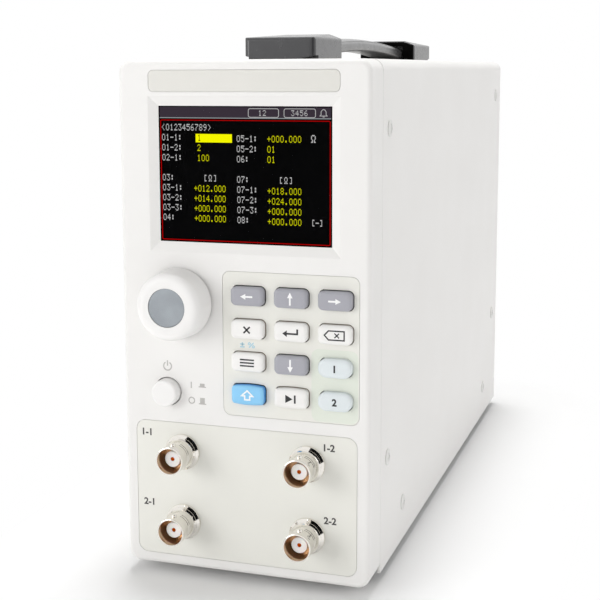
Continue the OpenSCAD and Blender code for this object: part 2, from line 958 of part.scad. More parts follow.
// Rear plate with forward flanges, vent slots and openings for the inlet and the port
module rear_panel() {
    color("gainsboro")
        in_frame()
            difference() {
                union() {
                    along_y(rear_y - plate_t, rear_y)
                        intersection() {
                            arch(inner_w, inner_h, inner_r);
                            translate([-inner_w / 2, plate_t])
                                square([inner_w, inner_h - plate_t]);
                        }
                    for (s = [-1, 1])
                        along_x(s * (inner_w - plate_t) / 2 - plate_t / 2,
                                s * (inner_w - plate_t) / 2 + plate_t / 2)
                            translate([rear_y - plate_t - flange_w, flange_z])
                                square([plate_t + flange_w, flange_h]);
                }
                for (sx = [-1, 1], k = [0:vent_count - 1])
                    along_y(rear_y - plate_t - cut, rear_y + cut)
                        translate([sx * vent_x, vent_top - k * vent_pitch])
                            rounded_rect(vent_w, vent_h, vent_h / 2 - slip);
                along_y(rear_y - plate_t - cut, rear_y + cut)
                    translate([inlet_x, inlet_z])
                        square([inlet_w - 2 * inlet_rim + 2 * inlet_gap,
                                inlet_h - 2 * inlet_rim + 2 * inlet_gap], center = true);
                along_y(rear_y - plate_t - cut, rear_y + cut)
                    translate([0, port_z])
                        rounded_rect(port_w + 2 * port_cut, port_h + 2 * port_cut, port_cut);
                side_screw_holes(rear_y - flange_w - plate_t, rear_y - plate_t);
            }
}

// Bare label strip above the display
module header_label() {
    color("whitesmoke")
        in_frame()
            along_y(0, film_t)
                label_outline(0);
}

// Clear window bonded into the back of the bezel's wall
module display_window() {
    color("black", 0.4)
        in_frame()
            along_y(screen_recess, screen_recess + window_t)
                translate([label_x, screen_z])
                    rounded_rect(window_w, window_h, window_r);
}

// Colour display module
module lcd_module() {
    color("black")
        in_frame()
            along_y(bezel_wall, bezel_wall + lcd_t)
                translate([label_x, screen_z])
                    square([lcd_w, lcd_h], center = true);
}

// Printed film round the keys
module keypad_overlay() {
    color("beige")
        in_frame()
            difference() {
                along_y(0, film_t)
                    pad_outline(0);
                key_holes(-cut, film_t + cut);
            }
}

// Printed film round the terminals
module terminal_overlay() {
    color("beige")
        in_frame()
            difference() {
                along_y(0, film_t)
                    panel_outline(0);
                for (i = [1:4])
                    toward_front(bnc_at(i))
                        translate([0, 0, -film_t - cut])
                            cylinder(r = thread_r + hole_gap, h = film_t + 2 * cut);
            }
}

// Key with a rounded front edge, a lip behind the wall and a stem to its switch
module key_cap(key) {
    color(key[4])
        in_frame()
            translate([key_at(key)[0], 0, key_at(key)[1]]) {
                key_front(key[3]);
                along_y(bezel_wall, bezel_wall + key_lip_t)
                    rounded_rect(key_w + 2 * key_lip, key_h + 2 * key_lip, key_r);
                toward_rear([0, 0], bezel_wall)
                    cylinder(r = key_stem_r, h = key_lip_t + key_stem_l);
            }
}

// Circuit board behind the keys
module key_board() {
    color("darkgreen")
        in_frame()
            difference() {
                along_y(board_y, board_y + board_t)
                    translate([keypad_x, keypad_z])
                        square([key_board_w, key_board_h], center = true);
                for (sx = [-1, 1], sz = [-1, 1])
                    along_y(board_y - cut, board_y + board_t + cut)
                        translate([keypad_x + sx * key_pitch_x, keypad_z + sz * key_boss_z])
                            circle(INNER_SCREW[2] + hole_gap);
            }
}

// Push switches on the key board, one behind each key
module tact_switches() {
    color("dimgray")
        in_frame()
            for (key = KEYS) {
                along_y(board_y - tact_t, board_y)
                    translate(key_at(key))
                        square([tact_w, tact_w], center = true);
                toward_rear(key_at(key), tact_y)
                    cylinder(r = tact_tip_r, h = tact_tip_l + tact_t / 2);
            }
}

// Half section of the knob's body, as radius and distance from the front face
module knob_profile() {
    edge_h = knob_front - knob_edge;
    side_r = knob_r - (edge_h - knob_gap) * tan(knob_draft);
    edge_x = side_r - knob_edge / cos(knob_draft);
    polygon([
        [0, knob_gap],
        [knob_r, knob_gap],
        [edge_x + knob_edge * cos(knob_draft), edge_h + knob_edge * sin(knob_draft)],
        [edge_x, edge_h],
        [edge_x, knob_front],
        [0, knob_front]
    ]);
    translate([edge_x, edge_h])
        circle(knob_edge);
}

// Control knob, hollow round the nut and bored for the shaft
module knob() {
    boss_z = bushing_l + knob_boss_gap;
    color("white")
        in_frame()
            toward_front([knob_x, knob_z])
                difference() {
                    rotate_extrude()
                        knob_profile();
                    difference() {
                        translate([0, 0, knob_gap - cut])
                            cylinder(r = knob_r - knob_shell, h = hollow_z - knob_gap + cut);
                        translate([0, 0, boss_z])
                            cylinder(r = knob_boss_r, h = hollow_z);
                    }
                    cylinder(r = shaft_r + slip, h = hollow_z + tip_gap);
                    translate([0, 0, knob_front - insert_t])
                        cylinder(r = insert_r + slip, h = insert_t + cut);
                }
}

// Grey disc set into the knob's front
module knob_insert() {
    color("slategray")
        in_frame()
            toward_front([knob_x, knob_z])
                translate([0, 0, knob_front - insert_t])
                    soft_disc(insert_r, insert_t - insert_sink, insert_edge);
}

// Body of the rotary control with its bushing
module encoder_body() {
    color("dimgray")
        in_frame()
            difference() {
                union() {
                    along_y(bezel_wall, bezel_wall + encoder_l)
                        translate([knob_x, knob_z])
                            square([encoder_w, encoder_w], center = true);
                    toward_front([knob_x, knob_z])
                        translate([0, 0, -bezel_wall - cut])
                            cylinder(r = bushing_r, h = bezel_wall + cut + bushing_l);
                }
                toward_front([knob_x, knob_z]) {
                    translate([0, 0, -bezel_wall - shaft_in])
                        cylinder(r = shaft_r + slip, h = bezel_wall + shaft_in + bushing_l + cut);
                    translate([0, 0, -bezel_wall - shaft_in - plunger_t - knob_push - slip])
                        cylinder(r = plunger_r + slip, h = plunger_t + knob_push + slip);
                }
            }
}

// Shaft that carries the knob
module encoder_shaft() {
    color("silver")
        in_frame()
            toward_front([knob_x, knob_z])
                translate([0, 0, -bezel_wall - shaft_in])
                    cylinder(r = shaft_r, h = bezel_wall + shaft_in + hollow_z);
}

// Push actuator behind the shaft
module encoder_plunger() {
    color("ivory")
        in_frame()
            toward_front([knob_x, knob_z])
                translate([0, 0, -bezel_wall - shaft_in - plunger_t])
                    cylinder(r = plunger_r, h = plunger_t);
}

// Washer and hexagon nut that hold the rotary control
module encoder_nut() {
    color("silver")
        in_frame()
            toward_front([knob_x, knob_z]) {
                difference() {
                    cylinder(r = washer_r, h = washer_t);
                    translate([0, 0, -cut])
                        cylinder(r = bushing_r + slip, h = washer_t + 2 * cut);
                }
                difference() {
                    translate([0, 0, washer_t + slip])
                        cylinder(r = nut_r, h = nut_t, $fn = 6);
                    cylinder(r = bushing_r + slip, h = washer_t + nut_t + cut);
                }
            }
}

// Push button with a lip behind the wall and a stem into the switch
module power_button() {
    color("whitesmoke")
        in_frame()
            toward_front([power_x, power_z]) {
                translate([0, 0, -bezel_wall])
                    soft_disc(power_r, bezel_wall + power_out, power_edge);
                translate([0, 0, -bezel_wall - power_lip_t])
                    cylinder(r = power_r + power_lip, h = power_lip_t);
                translate([0, 0, -bezel_wall - power_lip_t - stem_l])
                    cylinder(r = stem_r, h = stem_l);
            }
}

// Mains switch body on two ears
module power_switch() {
    color("dimgray")
        in_frame()
            difference() {
                union() {
                    along_y(switch_y, switch_y + switch_l)
                        translate([power_x, power_z])
                            square([switch_w, switch_w], center = true);
                    along_y(switch_y, switch_y + ear_t)
                        translate([power_x, power_z])
                            square([2 * (ear_x + boss_r), ear_h], center = true);
                }
                toward_rear([power_x, power_z], switch_y - cut)
                    cylinder(r = stem_r + 2 * slip, h = stem_l + cut);
                for (sx = [-1, 1])
                    along_y(switch_y - cut, switch_y + ear_t + cut)
                        translate([power_x + sx * ear_x, power_z])
                            circle(INNER_SCREW[2] + hole_gap);
            }
}

// Terminal body: flange, collar, barrel with bayonet lugs, thread and tail
module bnc_shell(i) {
    color("silver")
        in_frame()
            toward_front(bnc_at(i))
                difference() {
                    union() {
                        soft_disc(flange_r, flange_t, flange_edge);
                        soft_disc(collar_r, flange_t + collar_l, collar_edge);
                        cylinder(r = neck_r, h = land_z);
                        translate([0, 0, land_z])
                            soft_disc(bnc_r, bnc_out - land_z, bnc_rim);
                        translate([0, 0, -thread_l])
                            cylinder(r = thread_r, h = thread_l);
                        translate([0, 0, -thread_l - tail_l])
                            cylinder(r = tail_r, h = tail_l);
                        translate([0, -lug_reach, lug_z])
                            rotate([-90, 0, 0])
                                cylinder(r = lug_r, h = 2 * lug_reach);
                    }
                    translate([0, 0, bnc_out - bore_d])
                        cylinder(r = bnc_r - bnc_wall, h = bore_d + cut);
                    translate([0, 0, -thread_l - tail_l - cut])
                        cylinder(r = insulator_r + slip, h = thread_l + tail_l + bnc_out);
                }
}

// White insulator inside a terminal
module bnc_insulator(i) {
    color("white")
        in_frame()
            toward_front(bnc_at(i))
                difference() {
                    translate([0, 0, -thread_l - tail_l])
                        cylinder(r = insulator_r, h = thread_l + tail_l + bnc_out - insulator_sink);
                    translate([0, 0, -thread_l - tail_l - cut])
                        cylinder(r = contact_r + slip, h = thread_l + tail_l + bnc_out + cut);
                }
}

// Gold centre contacts with a socket at the front and a solder tail
module bnc_contacts() {
    color("gold")
        in_frame()
            for (i = [1:4])
                toward_front(bnc_at(i))
                    difference() {
                        translate([0, 0, -bnc_tail_y])
                            cylinder(r = contact_r, h = bnc_tail_y + bnc_out - contact_sink);
                        translate([0, 0, bnc_out - contact_sink - contact_socket_l])
                            cylinder(r = contact_socket_r, h = contact_socket_l + cut);
                    }
}

// Lock washers and hexagon nuts behind the wall
module bnc_nuts() {
    color("silver")
        in_frame()
            for (i = [1:4])
                toward_rear(bnc_at(i), bezel_wall) {
                    difference() {
                        cylinder(r = bnc_nut_r, h = lock_t);
                        translate([0, 0, -cut])
                            cylinder(r = thread_r + slip, h = lock_t + 2 * cut);
                    }
                    difference() {
                        translate([0, 0, lock_t + slip])
                            cylinder(r = bnc_nut_r, h = bnc_nut_t, $fn = 6);
                        cylinder(r = thread_r + slip, h = lock_t + bnc_nut_t + cut);
                    }
                }
}

// End cap on z = 0, with its outer end at y = 0 and its mouth at y = cap_l
module end_cap() {
    smile_r = (cap_w * cap_w / 4 + smile_drop * smile_drop) / (2 * smile_drop);
    ceiling = strap_low + strap_t + strap_play;
    difference() {
        intersection() {
            along_z(0, mouth_h)
                translate([0, cap_l / 2])
                    rounded_rect(cap_w, cap_l, cap_corner, $fn = 48);
            along_x(-cap_w / 2, cap_w / 2)
                hull() {
                    square([cap_l, cap_base]);
                    translate([cap_nose_r, cap_h - cap_nose_r])
                        circle(cap_nose_r, $fn = 48);
                    translate([cap_l - cap_mouth_r, mouth_h - cap_mouth_r])
                        circle(cap_mouth_r, $fn = 48);
                }
            along_y(0, cap_l)
                hull() {
                    translate([-cap_w / 2, 0])
                        square([cap_w, cap_base]);
                    for (s = [-1, 1]) {
                        translate([s * (cap_w / 2 - cap_side_edge), mouth_h - cap_shoulder - cap_side_edge])
                            circle(cap_side_edge, $fn = 48);
                        translate([s * (hump_w / 2 - cap_side_edge), mouth_h - cap_side_edge])
                            circle(cap_side_edge, $fn = 48);
                    }
                }
        }
        along_y(cap_l - strap_in - strap_end_gap, cap_l + cut)
            translate([-strap_w / 2 - strap_play, -cut])
                square([strap_w + 2 * strap_play, ceiling + cut]);
        along_y(-cut, smile_deep)
            difference() {
                translate([-cap_w, -cut])
                    square([2 * cap_w, smile_drop + cut]);
                translate([0, smile_r])
                    circle(smile_r);
            }
        for (sx = [-1, 1])
            translate([sx * cap_screw_x, cap_screw_y, -cut])
                cylinder(r = HANDLE_SCREW[2] + slip, h = handle_screw_l - sheet_t + tip_gap + cut);
    }
}

module handle_front_cap() {
    color("dimgray")
        in_frame()
            translate([0, handle_y, case_h])
                end_cap();
}

module handle_rear_cap() {
    color("dimgray")
        in_frame()
            translate([0, handle_y + handle_l, case_h])
                mirror([0, 1, 0])
                    end_cap();
}

// Flexible strap, bent upwards between the caps
module handle_strap() {
    half_angle = asin((half_span + strap_in) / arch_r);
    color("dimgray")
        in_frame()
            translate([0, handle_y + handle_l / 2, case_h + strap_high - arch_r])
                rotate([0, -90, 0])
                    rotate([0, 0, -half_angle])
                        rotate_extrude(angle = 2 * half_angle, $fn = 720)
                            translate([arch_r, 0])
                                intersection() {
                                    translate([strap_t / 2, 0])
                                        rounded_rect(strap_t, strap_w, strap_edge);
                                    translate([strap_t - strap_crown, 0])
                                        circle(strap_crown);
                                }
}

// Screws from inside the cover into the end caps
module handle_screws() {
    color("silver")
        in_frame()
            for (place = HANDLE_SCREWS)
                translate([place[0], place[1], case_h - sheet_t])
                    rotate([180, 0, 0])
                        screw(HANDLE_SCREW, handle_screw_l);
}

// Screws on both sides of the cover
module cover_screws() {
    color("lightgray")
        in_frame()
            for (place = SIDE_SCREWS, s = [-1, 1])
                translate([s * case_w / 2, place[0], place[1]])
                    rotate([0, s * 90, 0])
                        screw(SIDE_SCREW, side_screw_l);
}

// Screws of the bezel, the display, the key board, the mains switch and the main board
module inner_screws() {
    color("silver")
        in_frame() {
            for (place = BEZEL_SCREWS)
                toward_rear(place, frame_y)
                    screw(INNER_SCREW, inner_screw_l);
            for (sx = [-1, 1], sz = [-1, 1]) {
                toward_rear([label_x + sx * lcd_boss_x, screen_z + sz * lcd_boss_z],
                            bezel_wall + lcd_t)
                    screw(INNER_SCREW, lcd_t - tip_gap);
                toward_rear([keypad_x + sx * key_pitch_x, keypad_z + sz * key_boss_z],
                            board_y + board_t)
                    screw(INNER_SCREW, inner_screw_l);
            }
            for (sx = [-1, 1])
                toward_rear([power_x + sx * ear_x, power_z], switch_y + ear_t)
                    screw(INNER_SCREW, inner_screw_l);
            for (sx = [-1, 1], y = MAIN_HOLES_Y)
                translate([sx * main_hole_x, y, plate_t + standoff_h + board_t])
                    screw(INNER_SCREW, inner_screw_l);
        }
}

// Rubber feet with a sunk screw seat
module feet() {
    color("black")
        in_frame()
            for (place = FEET)
                translate([place[0], place[1], 0])
                    rotate([180, 0, 0])
                        difference() {
                            soft_disc(foot_r, foot_h, foot_edge);
                            translate([0, 0, seat_h])
                                cylinder(r = FOOT_SCREW[0] + hole_gap, h = foot_h);
                            translate([0, 0, -cut])
                                cylinder(r = FOOT_SCREW[2] + slip, h = foot_h + cut);
                        }
}

module foot_screws() {
    color("silver")
        in_frame()
            for (place = FEET)
                translate([place[0], place[1], -seat_h])
                    rotate([180, 0, 0])
                        screw([FOOT_SCREW[0], min(FOOT_SCREW[1], seat_h - foot_screw_sink),
                               FOOT_SCREW[2]], foot_screw_reach + seat_h);
}

// Main measuring board with its larger components
module main_board() {
    root_z = board_top - board_t / 2;
    color("darkgreen")
        in_frame()
            difference() {
                union() {
                    translate([-main_board_w / 2, main_board_y, plate_t + standoff_h])
                        cube([main_board_w, main_board_l, board_t]);
                    for (chip = CHIPS)
                        translate([chip[0], main_board_y + chip[1], root_z])
                            cube([chip[2], chip[3], chip[4] + board_t / 2]);
                    for (x = CAPACITORS_X)
                        translate([x, capacitor_y, root_z])
                            cylinder(r = capacitor_r, h = capacitor_h + board_t / 2);
                }
                for (sx = [-1, 1], y = MAIN_HOLES_Y)
                    translate([sx * main_hole_x, y, plate_t + standoff_h - cut])
                        cylinder(r = INNER_SCREW[2] + hole_gap, h = board_t + 2 * cut);
            }
}

// Mains transformer on a mounting strap
module transformer() {
    color("saddlebrown")
        in_frame()
            translate([0, transformer_y, plate_t]) {
                translate([-core_w / 2, -core_l / 2, 0])
                    cube([core_w, core_l, core_h]);
                translate([-coil_w / 2, -coil_l / 2, (core_h - coil_h) / 2])
                    cube([coil_w, coil_l, coil_h]);
                translate([-tab_w / 2, -core_l / 2, 0])
                    cube([tab_w, core_l, tab_t]);
            }
}

// Unit vector
function unit(v) = v / norm(v);

// Direction of a lead at its point k: along its end runs, and halfway round at a bend
function lead_dir(points, k) = unit(
    (k > 0 ? unit(points[k] - points[k - 1]) : [0, 0, 0])
    + (k < len(points) - 1 ? unit(points[k + 1] - points[k]) : [0, 0, 0])
);

// Ring of points round a lead, square to its direction d
function lead_ring(point, d, r) = let (
    side = unit(cross(LEAD_REF, d)),
    up = cross(d, side)
) [for (i = [0:LEAD_SIDES - 1])
    point + r * (cos(360 * i / LEAD_SIDES) * side + sin(360 * i / LEAD_SIDES) * up)];

// Round lead through a list of points
module lead(points, r) {
    n = LEAD_SIDES;
    last = len(points) - 1;
    polyhedron(
        [for (k = [0:last]) each lead_ring(points[k], lead_dir(points, k), r)],
        concat(
            [[for (i = [0:n - 1]) i]],
            [[for (i = [0:n - 1]) last * n + n - 1 - i]],
            [for (k = [0:last - 1], i = [0:n - 1])
                [k * n + i, (k + 1) * n + i, (k + 1) * n + (i + 1) % n]],
            [for (k = [0:last - 1], i = [0:n - 1])
                [k * n + i, (k + 1) * n + (i + 1) % n, k * n + (i + 1) % n]]
        )
    );
}

// Screened leads from the terminals to the main board
module signal_leads() {
    color("dimgray")
        in_frame()
            for (i = [1:4]) {
                place = bnc_at(i);
                end_x = sign(place[0]) * LEAD_ENDS[i <= 2 ? 0 : 1];
                lead([
                    [place[0], bnc_tail_y, place[1]],
                    [place[0], lead_bend_y, place[1]],
                    [end_x, lead_y - lead_end, board_top + coax_r],
                    [end_x, lead_y, board_top + coax_r]
                ], coax_r);
            }
}

// Mains leads from the inlet to the transformer and the chassis, and from the transformer to the switch
module mains_leads() {
    tail_y = rear_y + inlet_lip - socket_deep - blade_tail;
    coil_y = transformer_y + coil_l / 2;
    coil_z = plate_t + core_h / 2;
    live_z = inlet_z + socket_z - earth_z;
    switch_end = switch_y + switch_l;
    color("firebrick")
        in_frame() {
            for (s = [-1, 1])
                lead([
                    [inlet_x + s * blade_pitch / 2, tail_y, live_z],
                    [inlet_x + s * blade_pitch / 2, tail_y - wire_bend, live_z],
                    [s * coil_w / 4, coil_y + wire_bend, coil_z],
                    [s * coil_w / 4, coil_y, coil_z]
                ], wire_r);
            lead([
                [inlet_x, tail_y, live_z + 2 * earth_z],
                [inlet_x, tail_y - 2 * wire_r, live_z + 2 * earth_z],
                [inlet_x, tail_y - 2 * wire_r, plate_t]
            ], wire_r);
            for (s = [-1, 1])
                lead([
                    [power_x + s * wire_pitch / 2, switch_end, power_z],
                    [power_x + s * wire_pitch / 2, switch_end + 2 * wire_bend, power_z],
                    [side_run_x, lead_bend_y + wire_bend, side_run_z + (1 - s) * wire_pitch / 2],
                    [side_run_x, side_run_end, side_run_z + (1 - s) * wire_pitch / 2],
                    [-coil_w / 4 * s, transformer_y - coil_l / 2 - wire_bend, coil_z],
                    [-coil_w / 4 * s, transformer_y - coil_l / 2, coil_z]
                ], wire_r);
        }
}

// Flat cables from the display and the key board down to the main board
module ribbon_cables() {
    color("lightgray")
        in_frame()
            for (run = RIBBONS)
                along_x(run[0] - ribbon_w / 2, run[0] + ribbon_w / 2)
                    difference() {
                        translate([run[1], board_top])
                            square([lead_y - run[1], run[2] - board_top]);
                        translate([run[1] - cut, board_top - cut])
                            square([run[3] - run[1] - ribbon_t + cut, run[2] - board_top - ribbon_t + cut]);
                        translate([run[3], board_top + ribbon_t])
                            square([lead_y, run[2]]);
                    }
}

// Socket outline of the mains inlet, with its two lower corners cut off
module socket_outline() {
    polygon([
        [-socket_w / 2, socket_h / 2],
        [-socket_w / 2, -socket_h / 2 + socket_cut],
        [-socket_w / 2 + socket_cut, -socket_h / 2],
        [socket_w / 2 - socket_cut, -socket_h / 2],
        [socket_w / 2, -socket_h / 2 + socket_cut],
        [socket_w / 2, socket_h / 2]
    ]);
}

// Outlines of the three inlet blades, grown by g
module blade_outlines(g) {
    for (place = [[-blade_pitch / 2, -earth_z], [0, earth_z], [blade_pitch / 2, -earth_z]])
        translate(place)
            square([blade_t + 2 * g, blade_w + 2 * g], center = true);
}

// Mains inlet with a socket and a slot for the fuse drawer
module mains_inlet() {
    color("black")
        in_frame()
            translate([inlet_x, rear_y, inlet_z])
                difference() {
                    union() {
                        along_y(0, inlet_lip)
                            rounded_rect(inlet_w, inlet_h, inlet_rim);
                        along_y(-inlet_body, 0)
                            square([inlet_w - 2 * inlet_rim, inlet_h - 2 * inlet_rim], center = true);
                    }
                    along_y(inlet_lip - socket_deep, inlet_lip + cut)
                        translate([0, socket_z])
                            socket_outline();
                    along_y(inlet_lip - drawer_l - 2 * drawer_gap, inlet_lip + cut)
                        translate([0, drawer_z])
                            square([drawer_w + 2 * drawer_gap, drawer_h + 2 * drawer_gap], center = true);
                    along_y(-inlet_body - cut, inlet_lip)
                        translate([0, socket_z])
                            blade_outlines(slip);
                }
}

module inlet_pins() {
    color("silver")
        in_frame()
            translate([inlet_x, rear_y, inlet_z])
                along_y(inlet_lip - socket_deep - blade_tail, inlet_lip - blade_sink)
                    translate([0, socket_z])
                        blade_outlines(0);
}

// Fuse drawer with a pocket for the fuse and a finger lip
module fuse_drawer() {
    color("black")
        in_frame()
            translate([inlet_x, rear_y, inlet_z + drawer_z])
                difference() {
                    union() {
                        along_y(inlet_lip - drawer_l, inlet_lip)
                            square([drawer_w, drawer_h], center = true);
                        along_y(inlet_lip, inlet_lip + drawer_lip)
                            translate([0, (drawer_h - drawer_lip_h) / 2])
                                square([drawer_w / 2, drawer_lip_h], center = true);
                    }
                    along_y(inlet_lip - drawer_l + fuse_wall, inlet_lip - drawer_front)
                        translate([0, fuse_floor])
                            square([fuse_w, drawer_h], center = true);
                }
}

// D-shaped outline of the serial port, grown by g
module port_outline(g) {
    slant = port_h * tan(port_slant) / 2;
    polygon([
        [-port_w / 2 - slant - g, port_h / 2 + g],
        [port_w / 2 + slant + g, port_h / 2 + g],
        [port_w / 2 - slant + g, -port_h / 2 - g],
        [-port_w / 2 + slant - g, -port_h / 2 - g]
    ]);
}

// Metal shell of the serial port with its flange and hexagon posts
module serial_port_shell() {
    color("silver")
        in_frame()
            translate([0, rear_y, port_z])
                difference() {
                    union() {
                        along_y(0, port_flange_t)
                            rounded_rect(port_flange_w, port_flange_h, port_flange_r);
                        along_y(0, port_out)
                            port_outline(0);
                        for (s = [-1, 1])
                            toward_rear([s * port_post_x, 0], 0)
                                cylinder(r = port_post_r, h = port_post_l, $fn = 6);
                    }
                    along_y(-cut, port_out + cut)
                        port_outline(-port_wall);
                    for (s = [-1, 1])
                        toward_rear([s * port_post_x, 0], port_flange_t)
                            cylinder(r = port_screw_r, h = port_post_l);
                }
}

// Insulator of the serial port with its contact holes
module serial_port_insert() {
    color("black")
        in_frame()
            translate([0, rear_y, port_z])
                difference() {
                    union() {
                        along_y(-port_body, port_out - port_insert_sink)
                            port_outline(-port_wall - slip);
                        along_y(-port_body, -plate_t - fit_gap)
                            rounded_rect(port_w + 2 * port_body_side, port_h + 2 * port_body_end,
                                         port_body_r);
                    }
                    for (row = [0, 1], k = [0:4 - row])
                        toward_rear([(k - 2 + row / 2) * port_pin_pitch, (0.5 - row) * 2 * port_row_z], 0)
                            cylinder(r = port_pin_r, h = port_out);
                }
}

front_bezel();
front_frame();
cover();
chassis();
rear_panel();
header_label();
display_window();
lcd_module();
keypad_overlay();
terminal_overlay();
key_board();
tact_switches();
knob();
knob_insert();
encoder_body();
encoder_shaft();
encoder_plunger();
encoder_nut();
power_button();
power_switch();
bnc_contacts();
bnc_nuts();
handle_front_cap();
handle_rear_cap();
handle_strap();
handle_screws();
cover_screws();
inner_screws();
feet();
foot_screws();
main_board();
transformer();
signal_leads();
mains_leads();
ribbon_cables();
mains_inlet();
inlet_pins();
fuse_drawer();
serial_port_shell();
serial_port_insert();
for (key = KEYS) key_cap(key);
for (i = [1:4]) bnc_shell(i);
for (i = [1:4]) bnc_insulator(i);
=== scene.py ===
import math

import bmesh
import bpy
from mathutils import Matrix, Vector


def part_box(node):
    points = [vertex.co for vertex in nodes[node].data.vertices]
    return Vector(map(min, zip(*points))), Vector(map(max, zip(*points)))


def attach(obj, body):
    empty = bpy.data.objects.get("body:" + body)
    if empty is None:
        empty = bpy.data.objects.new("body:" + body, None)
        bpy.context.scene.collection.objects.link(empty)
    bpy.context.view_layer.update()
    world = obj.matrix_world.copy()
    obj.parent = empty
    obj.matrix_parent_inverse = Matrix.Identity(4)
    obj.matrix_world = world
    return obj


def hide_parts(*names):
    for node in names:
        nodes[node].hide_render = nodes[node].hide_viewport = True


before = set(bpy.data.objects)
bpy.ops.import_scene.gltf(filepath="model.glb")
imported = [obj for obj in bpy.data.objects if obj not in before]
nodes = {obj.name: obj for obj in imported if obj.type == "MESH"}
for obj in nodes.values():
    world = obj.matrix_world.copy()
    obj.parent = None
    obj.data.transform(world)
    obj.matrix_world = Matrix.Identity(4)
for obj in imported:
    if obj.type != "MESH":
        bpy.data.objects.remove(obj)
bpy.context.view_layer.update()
scene = bpy.context.scene

MM = 0.001
FRONT_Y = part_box("front_bezel")[0].y
CASE_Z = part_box("front_bezel")[0].z


def at(x, y, z):
    """Case millimetres (x from the middle, y from the front face, z from the underside) in the frame."""
    return Vector((x * MM, FRONT_Y + y * MM, CASE_Z + z * MM))


def middle(name):
    """Middle of a node's box in case millimetres, with the depth of its front."""
    lo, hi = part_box(name)
    return (lo.x + hi.x) / 2 / MM, (lo.y - FRONT_Y) / MM, ((lo.z + hi.z) / 2 - CASE_Z) / MM


# Camera

CAMERA_PLACE = at(142.51, -384.31, 171.79)
YAW, PITCH, ROLL = (math.radians(a) for a in (18.73, 8.43, 0.30))
camera_data = bpy.data.cameras.new("camera")
camera_data.sensor_width = 36
camera_data.lens = 74.89
camera_data.shift_x = 0.0385
camera_data.shift_y = -0.074
camera_data.clip_end = 50
camera = bpy.data.objects.new("camera", camera_data)
scene.collection.objects.link(camera)
camera.matrix_world = (
    Matrix.Translation(CAMERA_PLACE)
    @ Matrix.Rotation(YAW, 4, "Z")
    @ Matrix.Rotation(math.pi / 2 - PITCH, 4, "X")
    @ Matrix.Rotation(-ROLL, 4, "Z")
)
scene.camera = camera
scene.view_settings.view_transform = "Standard"


# Materials

# Colour sockets of a mix node
MIX_A, MIX_B, MIX_OUT = 6, 7, 2


class Graph:
    """A material's node tree with short calls for the nodes used here."""

    def __init__(self, name):
        self.material = bpy.data.materials.new(name)
        self.material.use_nodes = True
        self.tree = self.material.node_tree
        self.shader = self.tree.nodes["Principled BSDF"]
        self.place = self.node("ShaderNodeTexCoord").outputs["Object"]

    def node(self, kind, **settings):
        n = self.tree.nodes.new(kind)
        for key, value in settings.items():
            setattr(n, key, value)
        return n

    def link(self, source, target):
        self.tree.links.new(source, target)

    def feed(self, socket, value):
        """Links a socket to another one, or sets its own value."""
        if isinstance(value, bpy.types.NodeSocket):
            self.link(value, socket)
        else:
            socket.default_value = (*value, 1) if socket.type == "RGBA" else value

    def set(self, **values):
        for key, value in values.items():
            self.feed(self.shader.inputs[key.replace("_", " ")], value)

    def put(self, key, source):
        self.link(source, self.shader.inputs[key])

    def source(self, key):
        return self.shader.inputs[key].links[0].from_socket

    def vector(self, operation, *values):
        n = self.node("ShaderNodeVectorMath", operation=operation)
        for socket, value in zip(n.inputs, values):
            self.feed(socket, value)
        return n.outputs["Value" if operation == "LENGTH" else "Vector"]

    def noise(self, scale, detail, stretch=None):
        n = self.node("ShaderNodeTexNoise")
        n.inputs["Scale"].default_value = scale
        n.inputs["Detail"].default_value = detail
        place = self.place if stretch is None else self.vector("MULTIPLY", self.place, stretch)
        self.link(place, n.inputs["Vector"])
        return n.outputs["Fac"]

    def spread(self, source, low, high, start=0.3, end=0.7):
        """A value carried from start..end to low..high."""
        n = self.node("ShaderNodeMapRange")
        self.link(source, n.inputs["Value"])
        for key, value in (("From Min", start), ("From Max", end), ("To Min", low), ("To Max", high)):
            n.inputs[key].default_value = value
        return n.outputs["Result"]

    def mix(self, factor, a, b):
        n = self.node("ShaderNodeMix", data_type="RGBA")
        self.link(factor, n.inputs["Factor"])
        self.feed(n.inputs[MIX_A], a)
        self.feed(n.inputs[MIX_B], b)
        return n.outputs[MIX_OUT]

    def bump(self, height, depth_mm):
        n = self.node("ShaderNodeBump")
        n.inputs["Strength"].default_value = 1
        n.inputs["Distance"].default_value = depth_mm * MM
        self.link(height, n.inputs["Height"])
        self.put("Normal", n.outputs["Normal"])

    def box_mask(self, centre, half, corner, soft=0.05):
        """1 inside a rounded rectangle of the front face, given in case millimetres, and 0 outside."""
        p = self.vector("SUBTRACT", self.place, at(centre[0], 0, centre[1]))
        p = self.vector("ABSOLUTE", p)
        p = self.vector("SUBTRACT", p, ((half[0] - corner) * MM, 1, (half[1] - corner) * MM))
        p = self.vector("MAXIMUM", p, (0, 0, 0))
        reach = self.vector("LENGTH", p)
        return self.spread(reach, 1, 0, (corner - soft) * MM, (corner + soft) * MM)

    def depth_mask(self, start, end):
        """0 in front of depth start and 1 behind depth end, in case millimetres from the front face."""
        split = self.node("ShaderNodeSeparateXYZ")
        self.link(self.place, split.inputs[0])
        return self.spread(split.outputs["Y"], 0, 1, at(0, start, 0).y, at(0, end, 0).y)

    def deepen(self, color, start, end):
        """Carries the colour over to another one behind a depth."""
        self.put("Base Color", self.mix(self.depth_mask(start, end), self.source("Base Color"), color))


ROUGH_LEAST = 0.02


def shade(color, by):
    return tuple(min(1, max(0, c * by)) for c in color)


